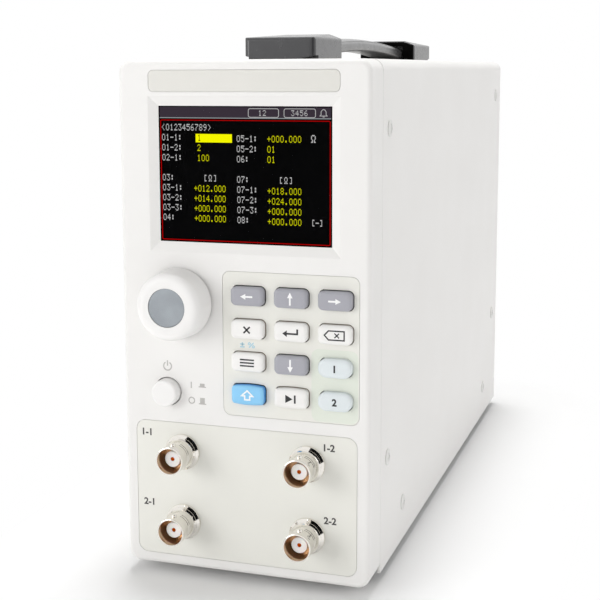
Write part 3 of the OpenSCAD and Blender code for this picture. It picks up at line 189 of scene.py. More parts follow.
def surface(name, color, rough, grain_mm=0.5, depth_mm=0.01, vary=0.03, patch_mm=40, rough_vary=0.06,
            stretch=None, **values):
    """Surface with slow colour drift, a roughness that wanders and a fine grain in relief.

    The colour drifts by the share vary over patches of patch_mm.
    The grain is grain_mm wide and depth_mm deep.
    """
    g = Graph(name)
    g.set(**values)
    drift = g.spread(g.noise(1000 / patch_mm, 4), 0, 1)
    g.put("Base Color", g.mix(drift, shade(color, 1 - vary), shade(color, 1 + vary)))
    wander = g.noise(4000 / patch_mm, 3)
    g.put("Roughness", g.spread(wander, max(ROUGH_LEAST, rough - rough_vary), rough + rough_vary))
    g.bump(g.noise(1000 / grain_mm, 3, stretch), depth_mm)
    return g


# Size of a display's picture element, the dark line round it, and the light that is left on that line
ELEMENT_MM, ELEMENT_LINE_MM, ELEMENT_DIM = 0.19, 0.01, 0.75


def glow(name, color):
    """Lit display mark, with the faint grid of the panel's picture elements."""
    g = Graph(name)
    g.set(Base_Color=(0, 0, 0), Roughness=0.3, Specular_IOR_Level=0.0, Emission_Color=color)
    grid = g.node("ShaderNodeTexBrick")
    grid.offset = 0
    grid.inputs["Scale"].default_value = 1
    grid.inputs["Brick Width"].default_value = ELEMENT_MM * MM
    grid.inputs["Row Height"].default_value = ELEMENT_MM * MM
    grid.inputs["Mortar Size"].default_value = ELEMENT_LINE_MM * MM
    turn = g.node("ShaderNodeMapping")
    turn.inputs["Rotation"].default_value = (math.pi / 2, 0, 0)
    g.link(g.place, turn.inputs["Vector"])
    g.link(turn.outputs["Vector"], grid.inputs["Vector"])
    g.put("Emission Strength", g.spread(grid.outputs["Fac"], 1, ELEMENT_DIM, 0, 1))
    return g


FILM = (0.775, 0.77, 0.72)
FILM_TINT = (0.72, 0.755, 0.675)

case_plastic = surface("case_plastic", (0.81, 0.80, 0.785), 0.42, 0.3, 0.010, 0.010, 60)
cover_paint = surface("cover_paint", (0.80, 0.79, 0.775), 0.40, 0.6, 0.010, 0.010, 80)
label_film = surface("label_film", (0.70, 0.69, 0.65), 0.38, 0.3, 0.004, 0.01, 30)
terminal_film = surface("terminal_film", FILM, 0.40, 0.3, 0.004, 0.010, 30)

# Keypad film, with a tinted zone behind the two parameter keys
TINT_MIDDLE, TINT_HALF, TINT_CORNER = (32.05, 68.9), (8.0, 12.3), 2.6
keypad_film = surface("keypad_film", FILM, 0.40, 0.3, 0.004, 0.010, 30)
tint = keypad_film.box_mask(TINT_MIDDLE, TINT_HALF, TINT_CORNER)
keypad_film.put("Base Color", keypad_film.mix(tint, keypad_film.source("Base Color"), FILM_TINT))

white_plastic = surface("white_plastic", (0.83, 0.82, 0.81), 0.38, 0.25, 0.004, 0.01, 25)
white_key = surface("white_key", (0.82, 0.81, 0.795), 0.40, 0.25, 0.005, 0.012, 12)
grey_key = surface("grey_key", (0.36, 0.36, 0.40), 0.42, 0.25, 0.005, 0.03, 10)
blue_key = surface("blue_key", (0.245, 0.575, 0.87), 0.40, 0.25, 0.005, 0.03, 10)
pale_key = surface("pale_key", (0.695, 0.745, 0.765), 0.40, 0.25, 0.005, 0.02, 10)

# The coloured key is deeper on its sides, and the keys' skirts carry painted shade where they go through the
# film: the shaded gap round each key is painted dark, brownish on the white keys
SIDE_DEPTHS, GAP_SHADE_DEPTHS = (-2.2, -1.5), (-0.12, 0.0)
blue_key.deepen((0.06, 0.30, 0.72), *SIDE_DEPTHS)
for key_surface, gap_shade in ((white_key, (0.42, 0.31, 0.23)), (grey_key, (0.006, 0.006, 0.006)),
                           (blue_key, (0.006, 0.008, 0.012))):
    key_surface.deepen(gap_shade, *GAP_SHADE_DEPTHS)

knob_disc = surface("knob_disc", (0.295, 0.32, 0.345), 0.40, 0.45, 0.09, 0.10, 6, 0.1, Metallic=0.35)

handle_plastic = surface("handle_plastic", (0.040, 0.040, 0.043), 0.24, 0.4, 0.008, 0.10, 12, 0.04,
                         Coat_Weight=0.12, Coat_Roughness=0.06)
strap_rubber = surface("strap_rubber", (0.050, 0.050, 0.051), 0.32, 0.6, 0.006, 0.10, 14, stretch=(1, 0.2, 1),
                       Coat_Weight=0.5, Coat_Roughness=0.2)
seal_film = surface("seal_film", FILM_TINT, 0.45, 0.3, 0.004, 0.010, 30)
# Painted shade: a black, dull surface for the shaded hollows in the mouths of the handle's caps
mouth_painted_shade = surface("mouth_painted_shade", (0.004, 0.004, 0.004), 0.8, 0.6, 0.01, 0.3, 6, Specular_IOR_Level=0.0)
foot_rubber = surface("foot_rubber", (0.025, 0.025, 0.026), 0.7, 0.5, 0.03, 0.15, 6)
dark_plastic = surface("dark_plastic", (0.022, 0.022, 0.024), 0.45, 0.4, 0.02, 0.12, 10)
painted_screw = surface("painted_screw", (0.72, 0.715, 0.70), 0.40, 0.3, 0.006, 0.03, 5)
zinc = surface("zinc", (0.62, 0.63, 0.64), 0.34, 0.6, 0.006, 0.08, 15, 0.1, (1, 0.05, 1), Metallic=1.0)
board_green = surface("board_green", (0.02, 0.13, 0.05), 0.4, 1.2, 0.03, 0.3, 5)
varnished = surface("varnished", (0.10, 0.055, 0.025), 0.35, 0.6, 0.08, 0.2, 8, stretch=(0.1, 1, 0.1))
lead_jacket = surface("lead_jacket", (0.03, 0.03, 0.03), 0.5, 0.8, 0.02, 0.1, 10)
flat_cable = surface("flat_cable", (0.55, 0.55, 0.52), 0.45, 1.2, 0.06, 0.06, 10, stretch=(1, 0.02, 0.02))
ptfe = surface("ptfe", (0.90, 0.895, 0.89), 0.45, 0.3, 0.004, 0.01, 6,
               Subsurface_Weight=0.15, Subsurface_Scale=0.001)
gold = surface("gold", (0.70, 0.27, 0.02), 0.28, 0.3, 0.004, 0.08, 3, Metallic=1.0)
nickel = surface("nickel", (0.70, 0.665, 0.60), 0.12, 0.5, 0.002, 0.03, 6, 0.03, Metallic=1.0)

# Terminal shells: a brighter nickel, with a duller bore that carries a painted reflection in warm brown
BNC_LOW = middle("bnc_shell_3")
BNC_HIGH = middle("bnc_shell_2")
BORE_R, BORE_SOFT = 4.35, 0.03
# Warm brown painted into the bore as a painted reflection, and the roughness added there
BORE_REFLECTION_PAINT, BORE_DULLER = (0.62, 0.44, 0.29), 0.12
terminal_nickel = surface("terminal_nickel", (0.83, 0.80, 0.75), 0.09, 0.5, 0.002, 0.03, 6, 0.03,
                          Metallic=1.0)


def paint_bore_reflections(g):
    """Paints a warm brown reflection into the surface inside the bores of the four terminals, which stand at
    a rectangle's corners, and makes it duller there.
    """
    half_pitch = (BNC_HIGH[0] * MM, 0, (BNC_HIGH[2] - BNC_LOW[2]) / 2 * MM)
    off_axis = g.vector("SUBTRACT", g.place, at(0, 0, (BNC_LOW[2] + BNC_HIGH[2]) / 2))
    off_axis = g.vector("SUBTRACT", g.vector("ABSOLUTE", off_axis), half_pitch)
    off_axis = g.vector("LENGTH", g.vector("MULTIPLY", off_axis, (1, 0, 1)))
    bore = g.spread(off_axis, 1, 0, (BORE_R - BORE_SOFT) * MM, (BORE_R + BORE_SOFT) * MM)
    g.put("Base Color", g.mix(bore, g.source("Base Color"), BORE_REFLECTION_PAINT))
    duller = g.node("ShaderNodeMath", operation="MULTIPLY_ADD")
    for socket, value in zip(duller.inputs, (bore, BORE_DULLER, g.source("Roughness"))):
        g.feed(socket, value)
    g.put("Roughness", duller.outputs[0])


paint_bore_reflections(terminal_nickel)

panel_black = surface("panel_black", (0.001, 0.001, 0.0012), 0.14, 0.19, 0.0002, 0.2, 20, 0.03,
                      Specular_IOR_Level=0.02)
window_clear = surface("window_clear", (0.001, 0.001, 0.0012), 0.06, 0.5, 0.0002, 0.2, 30, 0.02,
                       Alpha=0.02, Specular_IOR_Level=0.0)

NODE_MATERIALS = {
    "front_bezel": case_plastic, "cover": cover_paint, "rear_panel": cover_paint,
    "header_label": label_film, "keypad_overlay": keypad_film, "terminal_overlay": terminal_film,
    "display_window": window_clear, "lcd_module": panel_black,
    "knob": white_plastic, "knob_insert": knob_disc, "power_button": white_plastic,
    "encoder_plunger": white_plastic,
    "handle_front_cap": handle_plastic, "handle_rear_cap": handle_plastic,
    "handle_strap": strap_rubber, "feet": foot_rubber, "cover_screws": painted_screw,
    "mains_inlet": dark_plastic, "fuse_drawer": dark_plastic, "serial_port_insert": dark_plastic,
    "tact_switches": dark_plastic, "encoder_body": dark_plastic, "power_switch": dark_plastic,
    "inlet_pins": nickel, "serial_port_shell": nickel, "bnc_nuts": nickel,
    "bnc_contacts": gold,
    "key_board": board_green, "main_board": board_green, "transformer": varnished,
    "signal_leads": lead_jacket, "mains_leads": lead_jacket, "ribbon_cables": flat_cable,
    "key_left": grey_key, "key_up": grey_key, "key_right": grey_key, "key_down": grey_key,
    "key_escape": white_key, "key_enter": white_key, "key_clear": white_key,
    "key_menu": white_key, "key_start": white_key,
    "key_shift": blue_key, "key_a": pale_key, "key_b": pale_key,
}
for name, node in nodes.items():
    if name.startswith("bnc_shell"):
        graph = terminal_nickel
    elif name.startswith("bnc_insulator"):
        graph = ptfe
    else:
        graph = NODE_MATERIALS.get(name, zinc)
    node.data.materials.clear()
    node.data.materials.append(graph.material)


# Printed and lit marks

INK = {
    name: surface("ink_" + name, color, rough, 0.3, 0.003, vary, 4).material
    for name, color, rough, vary in (
        ("dark", (0.018, 0.018, 0.02), 0.5, 0.15), ("white", (0.86, 0.86, 0.86), 0.45, 0.02),
        ("grey", (0.46, 0.445, 0.43), 0.5, 0.03), ("blue", (0.38, 0.61, 0.72), 0.5, 0.03),
        ("slate", (0.06, 0.055, 0.055), 0.5, 0.1),
    )
}
LIT = {
    name: glow("lit_" + name, color).material
    for name, color in (
        ("white", (0.52, 0.52, 0.52)), ("yellow", (0.62, 0.62, 0.0)), ("field", (1.0, 1.0, 0.0)),
        ("red", (0.46, 0.0, 0.0)), ("bar", (0.045, 0.034, 0.047)), ("rule", (0.30, 0.33, 0.34)),
        ("black", (0.0, 0.0, 0.0)),
    )
}
# Thickness of the raised marks, on keys and on films, and the share of it by which they are sunk as well
MARK_THICK, FILM_MARK_THICK, MARK_ROOT = 0.03, 0.02, 1 / 3
# Limit for the longer side vector of a line at a sharp bend
BEND_LEAST = 0.4


def segment_joint(points, k, closed):
    """Side vector of a line at point k, longer at a bend so that the line keeps its width."""
    n = len(points)
    before = points[k] - points[k - 1] if closed or k > 0 else None
    after = points[(k + 1) % n] - points[k] if closed or k < n - 1 else None
    normals = [Vector((-v.y, v.x)).normalized() for v in (before, after) if v is not None]
    if len(normals) == 1:
        return normals[0]
    bisector = (normals[0] + normals[1]).normalized()
    return bisector / max(BEND_LEAST, bisector.dot(normals[0]))


def line(points, width, closed=False):
    """Outlines of a line of even width through points."""
    points = [Vector(p) for p in points]
    sides = [segment_joint(points, k, closed) * width / 2 for k in range(len(points))]
    last = len(points) if closed else len(points) - 1
    shapes = []
    for k in range(last):
        (a, side_a), (b, side_b) = ((points[i], sides[i]) for i in (k, (k + 1) % len(points)))
        shapes.append([a + side_a, a - side_a, b - side_b, b + side_b])
    return shapes


def arc(centre, radius, start=0, end=360, steps=32):
    count = steps if end - start >= 360 else steps + 1
    return [
        (centre[0] + radius * math.cos(math.radians(start + (end - start) * k / steps)),
         centre[1] + radius * math.sin(math.radians(start + (end - start) * k / steps)))
        for k in range(count)
    ]


def block(x0, z0, x1, z1):
    return [(x0, z0), (x1, z0), (x1, z1), (x0, z1)]


def round_block(x0, z0, x1, z1, r, steps=6):
    corners = ((x1 - r, z1 - r, 0), (x0 + r, z1 - r, 90), (x0 + r, z0 + r, 180), (x1 - r, z0 + r, 270))
    return [p for x, z, a in corners for p in arc((x, z), r, a, a + 90, steps)]


def figures(text, x, z, height, weight):
    """Outlines of plain figures with their lower left corner at (x, z), thickened by weight."""
    curve = bpy.data.curves.new("figures", "FONT")
    curve.body = text
    curve.resolution_u = 4
    curve.offset = weight
    holder = bpy.data.objects.new("figures", curve)
    scene.collection.objects.link(holder)
    bpy.context.view_layer.update()
    mesh = bpy.data.meshes.new_from_object(holder.evaluated_get(bpy.context.evaluated_depsgraph_get()))
    points = [v.co for v in mesh.vertices]
    low_x, low_z = min(p.x for p in points), min(p.y for p in points)
    size = height / (max(p.y for p in points) - low_z)
    places = [(x + (p.x - low_x) * size, z + (p.y - low_z) * size) for p in points]
    shapes = [[places[i] for i in face.vertices] for face in mesh.polygons]
    bpy.data.objects.remove(holder)
    bpy.data.meshes.remove(mesh)
    bpy.data.curves.remove(curve)
    return shapes


def moved(shapes, x, z):
    return [[(p[0] + x, p[1] + z) for p in shape] for shape in shapes]


def centred(shapes):
    xs = [p[0] for shape in shapes for p in shape]
    zs = [p[1] for shape in shapes for p in shape]
    return moved(shapes, -(min(xs) + max(xs)) / 2, -(min(zs) + max(zs)) / 2)


def made(name, bm, material):
    """Object made from a bmesh, which is freed."""
    mesh = bpy.data.meshes.new(name)
    bm.to_mesh(mesh)
    bm.free()
    mesh.materials.append(material)
    piece = bpy.data.objects.new(name, mesh)
    scene.collection.objects.link(piece)
    return piece


def body_piece(name, bm, material, body):
    """Piece made from a bmesh of closed shells, which rides on a body."""
    bmesh.ops.recalc_face_normals(bm, faces=bm.faces)
    piece = made(name, bm, material)
    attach(piece, body)
    return piece


def print_marks(name, shapes, y, material, body, thick=MARK_THICK):
    """Raised marks of thickness thick on a surface at depth y that faces the front."""
    bm = bmesh.new()
    for shape in shapes:
        front = [bm.verts.new(at(p[0], y - thick, p[1])) for p in shape]
        back = [bm.verts.new(at(p[0], y + thick * MARK_ROOT, p[1])) for p in shape]
        n = len(shape)
        bm.faces.new(front)
        bm.faces.new(back[::-1])
        for k in range(n):
            bm.faces.new((front[k], back[k], back[(k + 1) % n], front[(k + 1) % n]))
    body_piece(name, bm, material, body)


# Display picture, laid out on a grid of picture elements

ELEMENTS = (320, 240)
GLYPH_SIZE = (5, 7)
GLYPHS = {
    "0": (14, 17, 17, 17, 17, 17, 14), "1": (4, 12, 4, 4, 4, 4, 14), "2": (14, 17, 1, 2, 4, 8, 31),
    "3": (31, 2, 4, 2, 1, 17, 14), "4": (2, 6, 10, 18, 31, 2, 2), "5": (31, 16, 30, 1, 1, 17, 14),
    "6": (6, 8, 16, 30, 17, 17, 14), "7": (31, 1, 2, 4, 8, 8, 8), "8": (14, 17, 17, 14, 17, 17, 14),
    "9": (14, 17, 17, 15, 1, 2, 12), "+": (0, 4, 4, 31, 4, 4, 0), "-": (0, 0, 0, 31, 0, 0, 0),
    ".": (0, 0, 0, 0, 0, 12, 12), "[": (14, 8, 8, 8, 8, 8, 14), "]": (14, 2, 2, 2, 2, 2, 14),
    "<": (2, 4, 8, 16, 8, 4, 2), ">": (8, 4, 2, 1, 2, 4, 8), ":": (0, 12, 12, 0, 12, 12, 0),
    "#": (14, 17, 17, 17, 10, 10, 27),
}
# What a stroke's right end leaves free of its last dot
STROKE_TRIM = 0.3
PICTURE = (60.0, 45.0)
# The picture lies a little to the left and down, so that it fills the opening from the camera's side
PICTURE_SHIFT = (-0.5, -0.1)
LCD_X, LCD_FACE, LCD_Z = middle("lcd_module")
PICTURE_X = LCD_X + PICTURE_SHIFT[0] - PICTURE[0] / 2
PICTURE_Z = LCD_Z + PICTURE_SHIFT[1] + PICTURE[1] / 2


def on_picture(px, py):
    return PICTURE_X + px * PICTURE[0] / ELEMENTS[0], PICTURE_Z - py * PICTURE[1] / ELEMENTS[1]


def picture_block(x0, y0, x1, y1):
    a, b = on_picture(x0, y1), on_picture(x1, y0)
    return block(a[0], a[1], b[0], b[1])


def characters(text, px, row_middle, cell=8.0, bit=(1.25, 1.65)):
    """Dot characters that start at column px, with the row's middle at element row row_middle."""
    columns, rows = GLYPH_SIZE
    shapes = []
    for k, char in enumerate(text):
        left = px + k * cell
        for row, bits in enumerate(GLYPHS[char]):
            y0 = row_middle + (row - rows / 2) * bit[1]
            column = 0
            while column < columns:
                run = column
                while run < columns and bits >> (columns - 1 - run) & 1:
                    run += 1
                if run > column:
                    x0, x1 = left + column * bit[0], left + run * bit[0] - STROKE_TRIM
                    shapes.append(picture_block(x0, y0, x1, y0 + bit[1]))
                column = max(run, column + 1)
    return shapes


def picture_line(points, width, closed=False):
    return line([on_picture(*p) for p in points], width * PICTURE[0] / ELEMENTS[0], closed)


def picture_frame(x0, y0, x1, y1, r, width):
    return picture_line(round_block(x0, y0, x1, y1, r), width, True)


ROWS = [36 + 18 * k for k in range(10)]
white_marks = characters("<0123456789>", 4, ROWS[0])
for row, text in ((1, "01-1:"), (2, "01-2:"), (3, "02-1:"), (5, "03:"), (6, "03-1:"), (7, "03-2:"),
                  (8, "03-3:"), (9, "04:")):
    white_marks += characters(text, 4, ROWS[row])
for row, text in ((1, "05-1:"), (2, "05-2:"), (3, "06:"), (5, "07:"), (6, "07-1:"), (7, "07-2:"),
                  (8, "07-3:"), (9, "08:")):
    white_marks += characters(text, 147, ROWS[row] + 1)
white_marks += characters("[#]", 84, ROWS[5], 9) + characters("[#]", 226, ROWS[5] + 1, 9)
white_marks += characters("#", 284, ROWS[1], 8, (1.7, 1.9)) + characters("[-]", 285, ROWS[9] + 2, 7)
white_marks += picture_frame(169, 2.5, 225, 17.5, 3.5, 1.1) + picture_frame(235, 2.5, 292, 17.5, 3.5, 1.1)
white_marks += characters("12", 188, 10, 8, (1.2, 1.4)) + characters("3456", 248, 10, 8, (1.2, 1.4))
BELL = ((300, 14.5), (302, 12.5), (302, 7.5), (304, 4.5), (306.5, 3.2), (309, 4.5), (311, 7.5), (311, 12.5),
        (313, 14.5))
white_marks += picture_line(BELL, 1.1, True) + picture_line([(305, 16.2), (308, 16.2)], 1.4)

yellow_marks = characters("2", 72, ROWS[2]) + characters("100", 72, ROWS[3])
yellow_marks += characters("+000.000", 204, ROWS[1] + 1)
yellow_marks += characters("01", 204, ROWS[2] + 1) + characters("01", 204, ROWS[3] + 1)
for row, left, right in ((6, "+012.000", "+018.000"), (7, "+014.000", "+024.000"),
                         (8, "+000.000", "+000.000"), (9, "+000.000", "+000.000")):
    yellow_marks += characters(left, 65, ROWS[row] + 0.5, 7.7) + characters(right, 204, ROWS[row] + 2)

for name, shapes, lift, color in (
    ("screen_bar", [picture_block(0, 0, 320, 18.5)], 0, "bar"),
    ("screen_rule", [picture_block(0, 18.5, 320, 20)], 0, "rule"),
    ("screen_border", picture_frame(1.6, 23.4, 318.4, 238.4, 2.5, 1.4), 0, "red"),
    ("screen_field", [picture_block(69, 47.5, 138, 62.5)], 0, "field"),
    ("screen_field_figure", characters("1", 73, ROWS[1]), FILM_MARK_THICK, "black"),
    ("screen_white_marks", white_marks, FILM_MARK_THICK, "white"),
    ("screen_yellow_marks", yellow_marks, 0, "yellow"),
):
    print_marks(name, shapes, LCD_FACE - lift, LIT[color], "case", FILM_MARK_THICK)


# Key marks, each on its key's front face

def arrow(turn):
    """Solid arrow of length 4.3 along the given direction in degrees."""
    head = [(2.2, 0), (0.35, 0.95), (0.35, -0.95)]
    shaft = [(0.36, 0.30), (-2.1, 0.30), (-2.1, -0.30), (0.36, -0.30)]
    c, s = math.cos(math.radians(turn)), math.sin(math.radians(turn))
    return [[(c * p[0] - s * p[1], s * p[0] + c * p[1]) for p in shape] for shape in (head, shaft)]


CROSS = line([(-1.1, -1.1), (1.1, 1.1)], 0.55) + line([(-1.1, 1.1), (1.1, -1.1)], 0.55)
ENTER = line([(2.5, 1.3), (2.5, -0.35), (-1.2, -0.35)], 0.6) + [[(-1.1, 0.75), (-2.65, -0.35), (-1.1, -1.45)]]
CLEAR = line([(-3.4, 0), (-2.0, 1.5), (3.3, 1.5), (3.3, -1.5), (-2.0, -1.5)], 0.45, True)
CLEAR += [[(0.7 * p[0] + 0.8, 0.7 * p[1]) for p in shape] for shape in CROSS]
MENU = [block(-2.5, z - 0.25, 2.5, z + 0.25) for z in (-1.05, 0, 1.05)]
SHIFT = line([(0, 1.65), (2.0, -0.15), (0.9, -0.15), (0.9, -1.45), (-0.9, -1.45), (-0.9, -0.15),
              (-2.0, -0.15)], 0.5, True)
START = [[(-1.7, 1.4), (-1.7, -1.4), (0.8, 0)], block(1.3, -1.4, 1.9, 1.4)]

FIGURE_H = 2.5
KEY_MARKS = {
    "key_left": (arrow(180), "white"), "key_right": (arrow(0), "white"),
    "key_up": (arrow(90), "white"), "key_down": (arrow(270), "white"),
    "key_escape": (CROSS, "dark"), "key_enter": (ENTER, "dark"), "key_clear": (CLEAR, "dark"),
    "key_menu": (MENU, "dark"), "key_shift": (SHIFT, "white"), "key_start": (START, "dark"),
    "key_a": (centred(figures("1", 0, 0, FIGURE_H, 0.035)), "dark"),
    "key_b": (centred(figures("2", 0, 0, FIGURE_H, 0.035)), "dark"),
}
for name, (shapes, ink) in KEY_MARKS.items():
    x, y, z = middle(name)
    print_marks(name + "_mark", moved(shapes, x, z), y, INK[ink], name)


# Marks on the bezel and the films, placed from the parts that they belong to

power_x, _, power_z = middle("power_button")
power_signs = line(arc((0, 8.9), 1.45, 120, 420), 0.45) + [block(-0.23, 9.0, 0.23, 10.9)]
power_signs += [block(8.5, 1.8, 8.9, 4.0)] + line(arc((8.8, -2.5), 1.05), 0.38, True)
power_signs += [block(11.4, 2.25, 14.1, 2.6), block(11.9, 2.55, 13.6, 3.6)]
power_signs += [block(11.4, -3.7, 14.1, -3.35), block(11.9, -3.4, 13.6, -1.4)]
print_marks("power_signs", moved(power_signs, power_x, power_z), 0, INK["grey"], "case",
            FILM_MARK_THICK)

menu_x, _, menu_z = middle("key_menu")
tolerance = line([(-3.3, 5.75), (-1.7, 5.75)], 0.4) + line([(-2.5, 5.1), (-2.5, 6.4)], 0.4)
tolerance += line([(-3.3, 4.8), (-1.7, 4.8)], 0.4)
tolerance += line([(-0.1, 4.7), (1.5, 6.4)], 0.38) + line(arc((0.0, 6.0), 0.36), 0.32, True)
tolerance += line(arc((1.4, 5.05), 0.36), 0.32, True)
print_marks("keypad_signs", moved(tolerance, menu_x, menu_z), 0, INK["blue"], "case",
            FILM_MARK_THICK)

# Numbers beside the terminals, from the middle of each terminal
TERMINAL_NUMBERS = {
    1: ("1-1", -15.0, 4.75), 2: ("1-2", 5.8, 4.9), 3: ("2-1", -15.0, 4.65), 4: ("2-2", 5.8, 4.8),
}
terminal_marks = []
for number, (text, dx, dz) in TERMINAL_NUMBERS.items():
    x, _, z = middle(f"bnc_shell_{number}")
    terminal_marks += figures(text, x + dx, z + dz, FIGURE_H, 0.03)
print_marks("terminal_marks", terminal_marks, 0, INK["slate"], "case", FILM_MARK_THICK)


# Pieces that ride on the case

def skin(bm, rings):
    """Faces between neighbouring rings, which are closed and have the same number of points."""
    for a, b in zip(rings, rings[1:]):
        n = len(a)
        for k in range(n):
            j = (k + 1) % n
            bm.faces.new((a[k], a[j], b[j], b[k]))


def bar(bm, rings):
    """Closed bar through rings."""
    skin(bm, rings)
    bm.faces.new(rings[0])
    bm.faces.new(rings[-1])


def circle(bm, r, out, place, steps):
    angles = [math.tau * k / steps for k in range(steps)]
    return [bm.verts.new(place(r * math.cos(a), r * math.sin(a), out)) for a in angles]


def ribbon(bm, inner, outer, depths):
    """Closed bar between two rows of points of the front plane, over a range of depths."""
    rings = []
    for a, b in zip(inner, outer):
        corners = ((a, depths[0]), (b, depths[0]), (b, depths[1]), (a, depths[1]))
        rings.append([bm.verts.new(at(point[0], y, point[1])) for point, y in corners])
    bar(bm, rings)


# Terminal shells: turned parts with a sloped shoulder, two fine grooves and a pair of bayonet lugs

SHELL_PROFILE = (
    (2.76, 0.0), (6.3, 0.0), (6.3, 0.75), (6.25, 0.92), (6.12, 1.05), (5.98, 1.14), (5.42, 1.72),
    (5.40, 1.86), (4.84, 2.46), (4.68, 2.8), (4.6, 3.3),
    (4.6, 5.5), (4.52, 5.58), (4.52, 5.7), (4.6, 5.78), (4.6, 6.7), (4.52, 6.78), (4.52, 6.9), (4.6, 6.98),
    (4.6, 9.6), (4.66, 9.65), (4.8, 9.65), (4.8, 11.8), (4.74, 11.94), (4.6, 12.0), (4.36, 12.0), (4.3, 11.9),
    (4.3, 3.9), (2.76, 3.9),
)
SHELL_SHARP = math.radians(32)
LUG = {"r": 0.95, "out": 8.6, "low": 4.4, "high": 5.5, "edge": 0.2}


def turned(bm, profile, place, steps=96):
    """Closed ring turned from a closed profile of (radius, distance forward), round an axis to the front."""
    rings = [circle(bm, r, out, place, steps) for r, out in profile]
    skin(bm, rings + rings[:1])


def pegged(bm, r, edge, low, high, place, steps=24):
    """Closed peg with a broken edge at its outer end."""
    ends = ((r, low), (r, high - edge), (r - edge, high))
    bar(bm, [circle(bm, radius, up, place, steps) for radius, up in ends])


def build_terminal(number):
    node = f"bnc_shell_{number}"
    x, _, z = middle(node)
    bm = bmesh.new()
    turned(bm, SHELL_PROFILE, lambda u, v, out: at(x + u, -out, z + v))
    for side in (1, -1):
        pegged(bm, LUG["r"], LUG["edge"], LUG["low"], LUG["high"],
               lambda u, v, up: at(x + u, -LUG["out"] + v, z + side * up))
    for face in bm.faces:
        face.smooth = True
    piece = body_piece(f"terminal_{number}", bm, terminal_nickel.material, "case")
    piece.data.set_sharp_from_angle(angle=SHELL_SHARP)
    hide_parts(node)


for number in TERMINAL_NUMBERS:
    build_terminal(number)

# White rings that cover the contacts' rims in the insulators
SHROUD_PROFILE = ((0.72, 8.84), (1.04, 8.84), (1.04, 8.99), (0.78, 8.99), (0.72, 8.95))
SHROUD_STEPS = 48
shroud_bm = bmesh.new()
for number in TERMINAL_NUMBERS:
    x, _, z = middle(f"bnc_shell_{number}")
    turned(shroud_bm, SHROUD_PROFILE, lambda u, v, out: at(x + u, -out, z + v), SHROUD_STEPS)
body_piece("contact_shrouds", shroud_bm, ptfe.material, "case")


# Seals of the two parameter keys: pale rings that close the gap round the key, apart from two short slits

SEAL_GROW, SEAL_DEPTH = (0.05, 0.28), (0.06, 0.36)
KEY_LIP, PILL_R, PILL_STEPS = 0.8, 2.8, 8
# Kept stretches of the outline's points, between the slits at the upper left and the lower right
SEAL_STRETCHES = ((15, 29), (33, 47))


def pill_outline(key, grow):
    """Outline of a key's shaft, grown by a gap; the node's box holds its wider lip."""
    lo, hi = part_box(key)
    x, _, z = middle(key)
    half = [side / 2 / MM - KEY_LIP + grow for side in (hi.x - lo.x, hi.z - lo.z)]
    return round_block(x - half[0], z - half[1], x + half[0], z + half[1], PILL_R + grow, PILL_STEPS)


def build_seal(key):
    inner, outer = (pill_outline(key, grow) for grow in SEAL_GROW)
    bm = bmesh.new()
    for first, last in SEAL_STRETCHES:
        kept = [k % len(inner) for k in range(first, last + 1)]
        ribbon(bm, [inner[k] for k in kept], [outer[k] for k in kept], SEAL_DEPTH)
    body_piece(key + "_seal", bm, seal_film.material, "case")


for key in ("key_a", "key_b"):
    build_seal(key)


# Strip in the seam between the front and the cover, just under their surface

SEAM_INSET, SEAM_FOOT, SEAM_GAP = (0.6, 0.1), 1.0, 0.02
BEND_R, BEND_STEPS = 3.9, 10
COVER_LO, COVER_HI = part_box("cover")
BEZEL_REAR = 15.0
COVER_FRONT = (COVER_LO.y - FRONT_Y) / MM
SEAM_DEPTHS = (BEZEL_REAR + SEAM_GAP, COVER_FRONT - SEAM_GAP)


def seam_outline(inset):
    half, top, r = COVER_HI.x / MM - inset, (COVER_HI.z - CASE_Z) / MM - inset, BEND_R - inset
    corners = arc((half - r, top - r), r, 0, 90, BEND_STEPS)
    corners += arc((r - half, top - r), r, 90, 180, BEND_STEPS)
    return [(half, SEAM_FOOT)] + corners + [(-half, SEAM_FOOT)]


seam_bm = bmesh.new()
ribbon(seam_bm, *(seam_outline(inset) for inset in SEAM_INSET), SEAM_DEPTHS)
body_piece("seam_strip", seam_bm, cover_paint.material, "case")


# Black sheets of painted shade in the mouths of the handle's end caps, on both sides of the strap and over
# it, for the shade in the hollow mouths

CAP_W, CAP_CORNER, CAP_SIDE_EDGE, CAP_SHOULDER = 26.3, 2.0, 1.4, 1.5
MOUTH_H, MOUTH_R, HUMP_W = 9.75, 2.2, 18.8
SLEEVE_X, SLEEVE_Z = 7.75, 7.3
SHADE_SHEET_PROUD, SHADE_SHEET_IN, SHADE_SHEET_STEPS = 0.06, 0.2, 12
# What a sheet of painted shade leaves free: under the cap's sloped and level top edges, at its sides, below
# and over the strap
FREE_SLOPE, FREE_TOP, FREE_SIDE, FREE_FOOT, FREE_STRAP = 0.35, 0.45, 0.45, 0.15, 0.05


def cap_top(x):
    """Height of the cap's top edge at a distance from its middle."""
    slope = (x - HUMP_W / 2 + CAP_SIDE_EDGE) / (CAP_W / 2 - HUMP_W / 2)
    return MOUTH_H - CAP_SHOULDER * min(1, max(0, slope))


def shade_sheet_top(x):
    return min(cap_top(x) - FREE_SLOPE, MOUTH_H - FREE_TOP)


def set_back(r, past):
    """How far a rounding of radius r falls back at a distance past its start."""
    return r - math.sqrt(r ** 2 - past ** 2)


def mouth_depth(x, z):
    """How far the rounded mouth lies behind its foremost plane."""
    side, up = max(0, abs(x) - (CAP_W / 2 - CAP_CORNER)), max(0, z - (MOUTH_H - MOUTH_R))
    return max(set_back(CAP_CORNER, side), set_back(MOUTH_R, up))


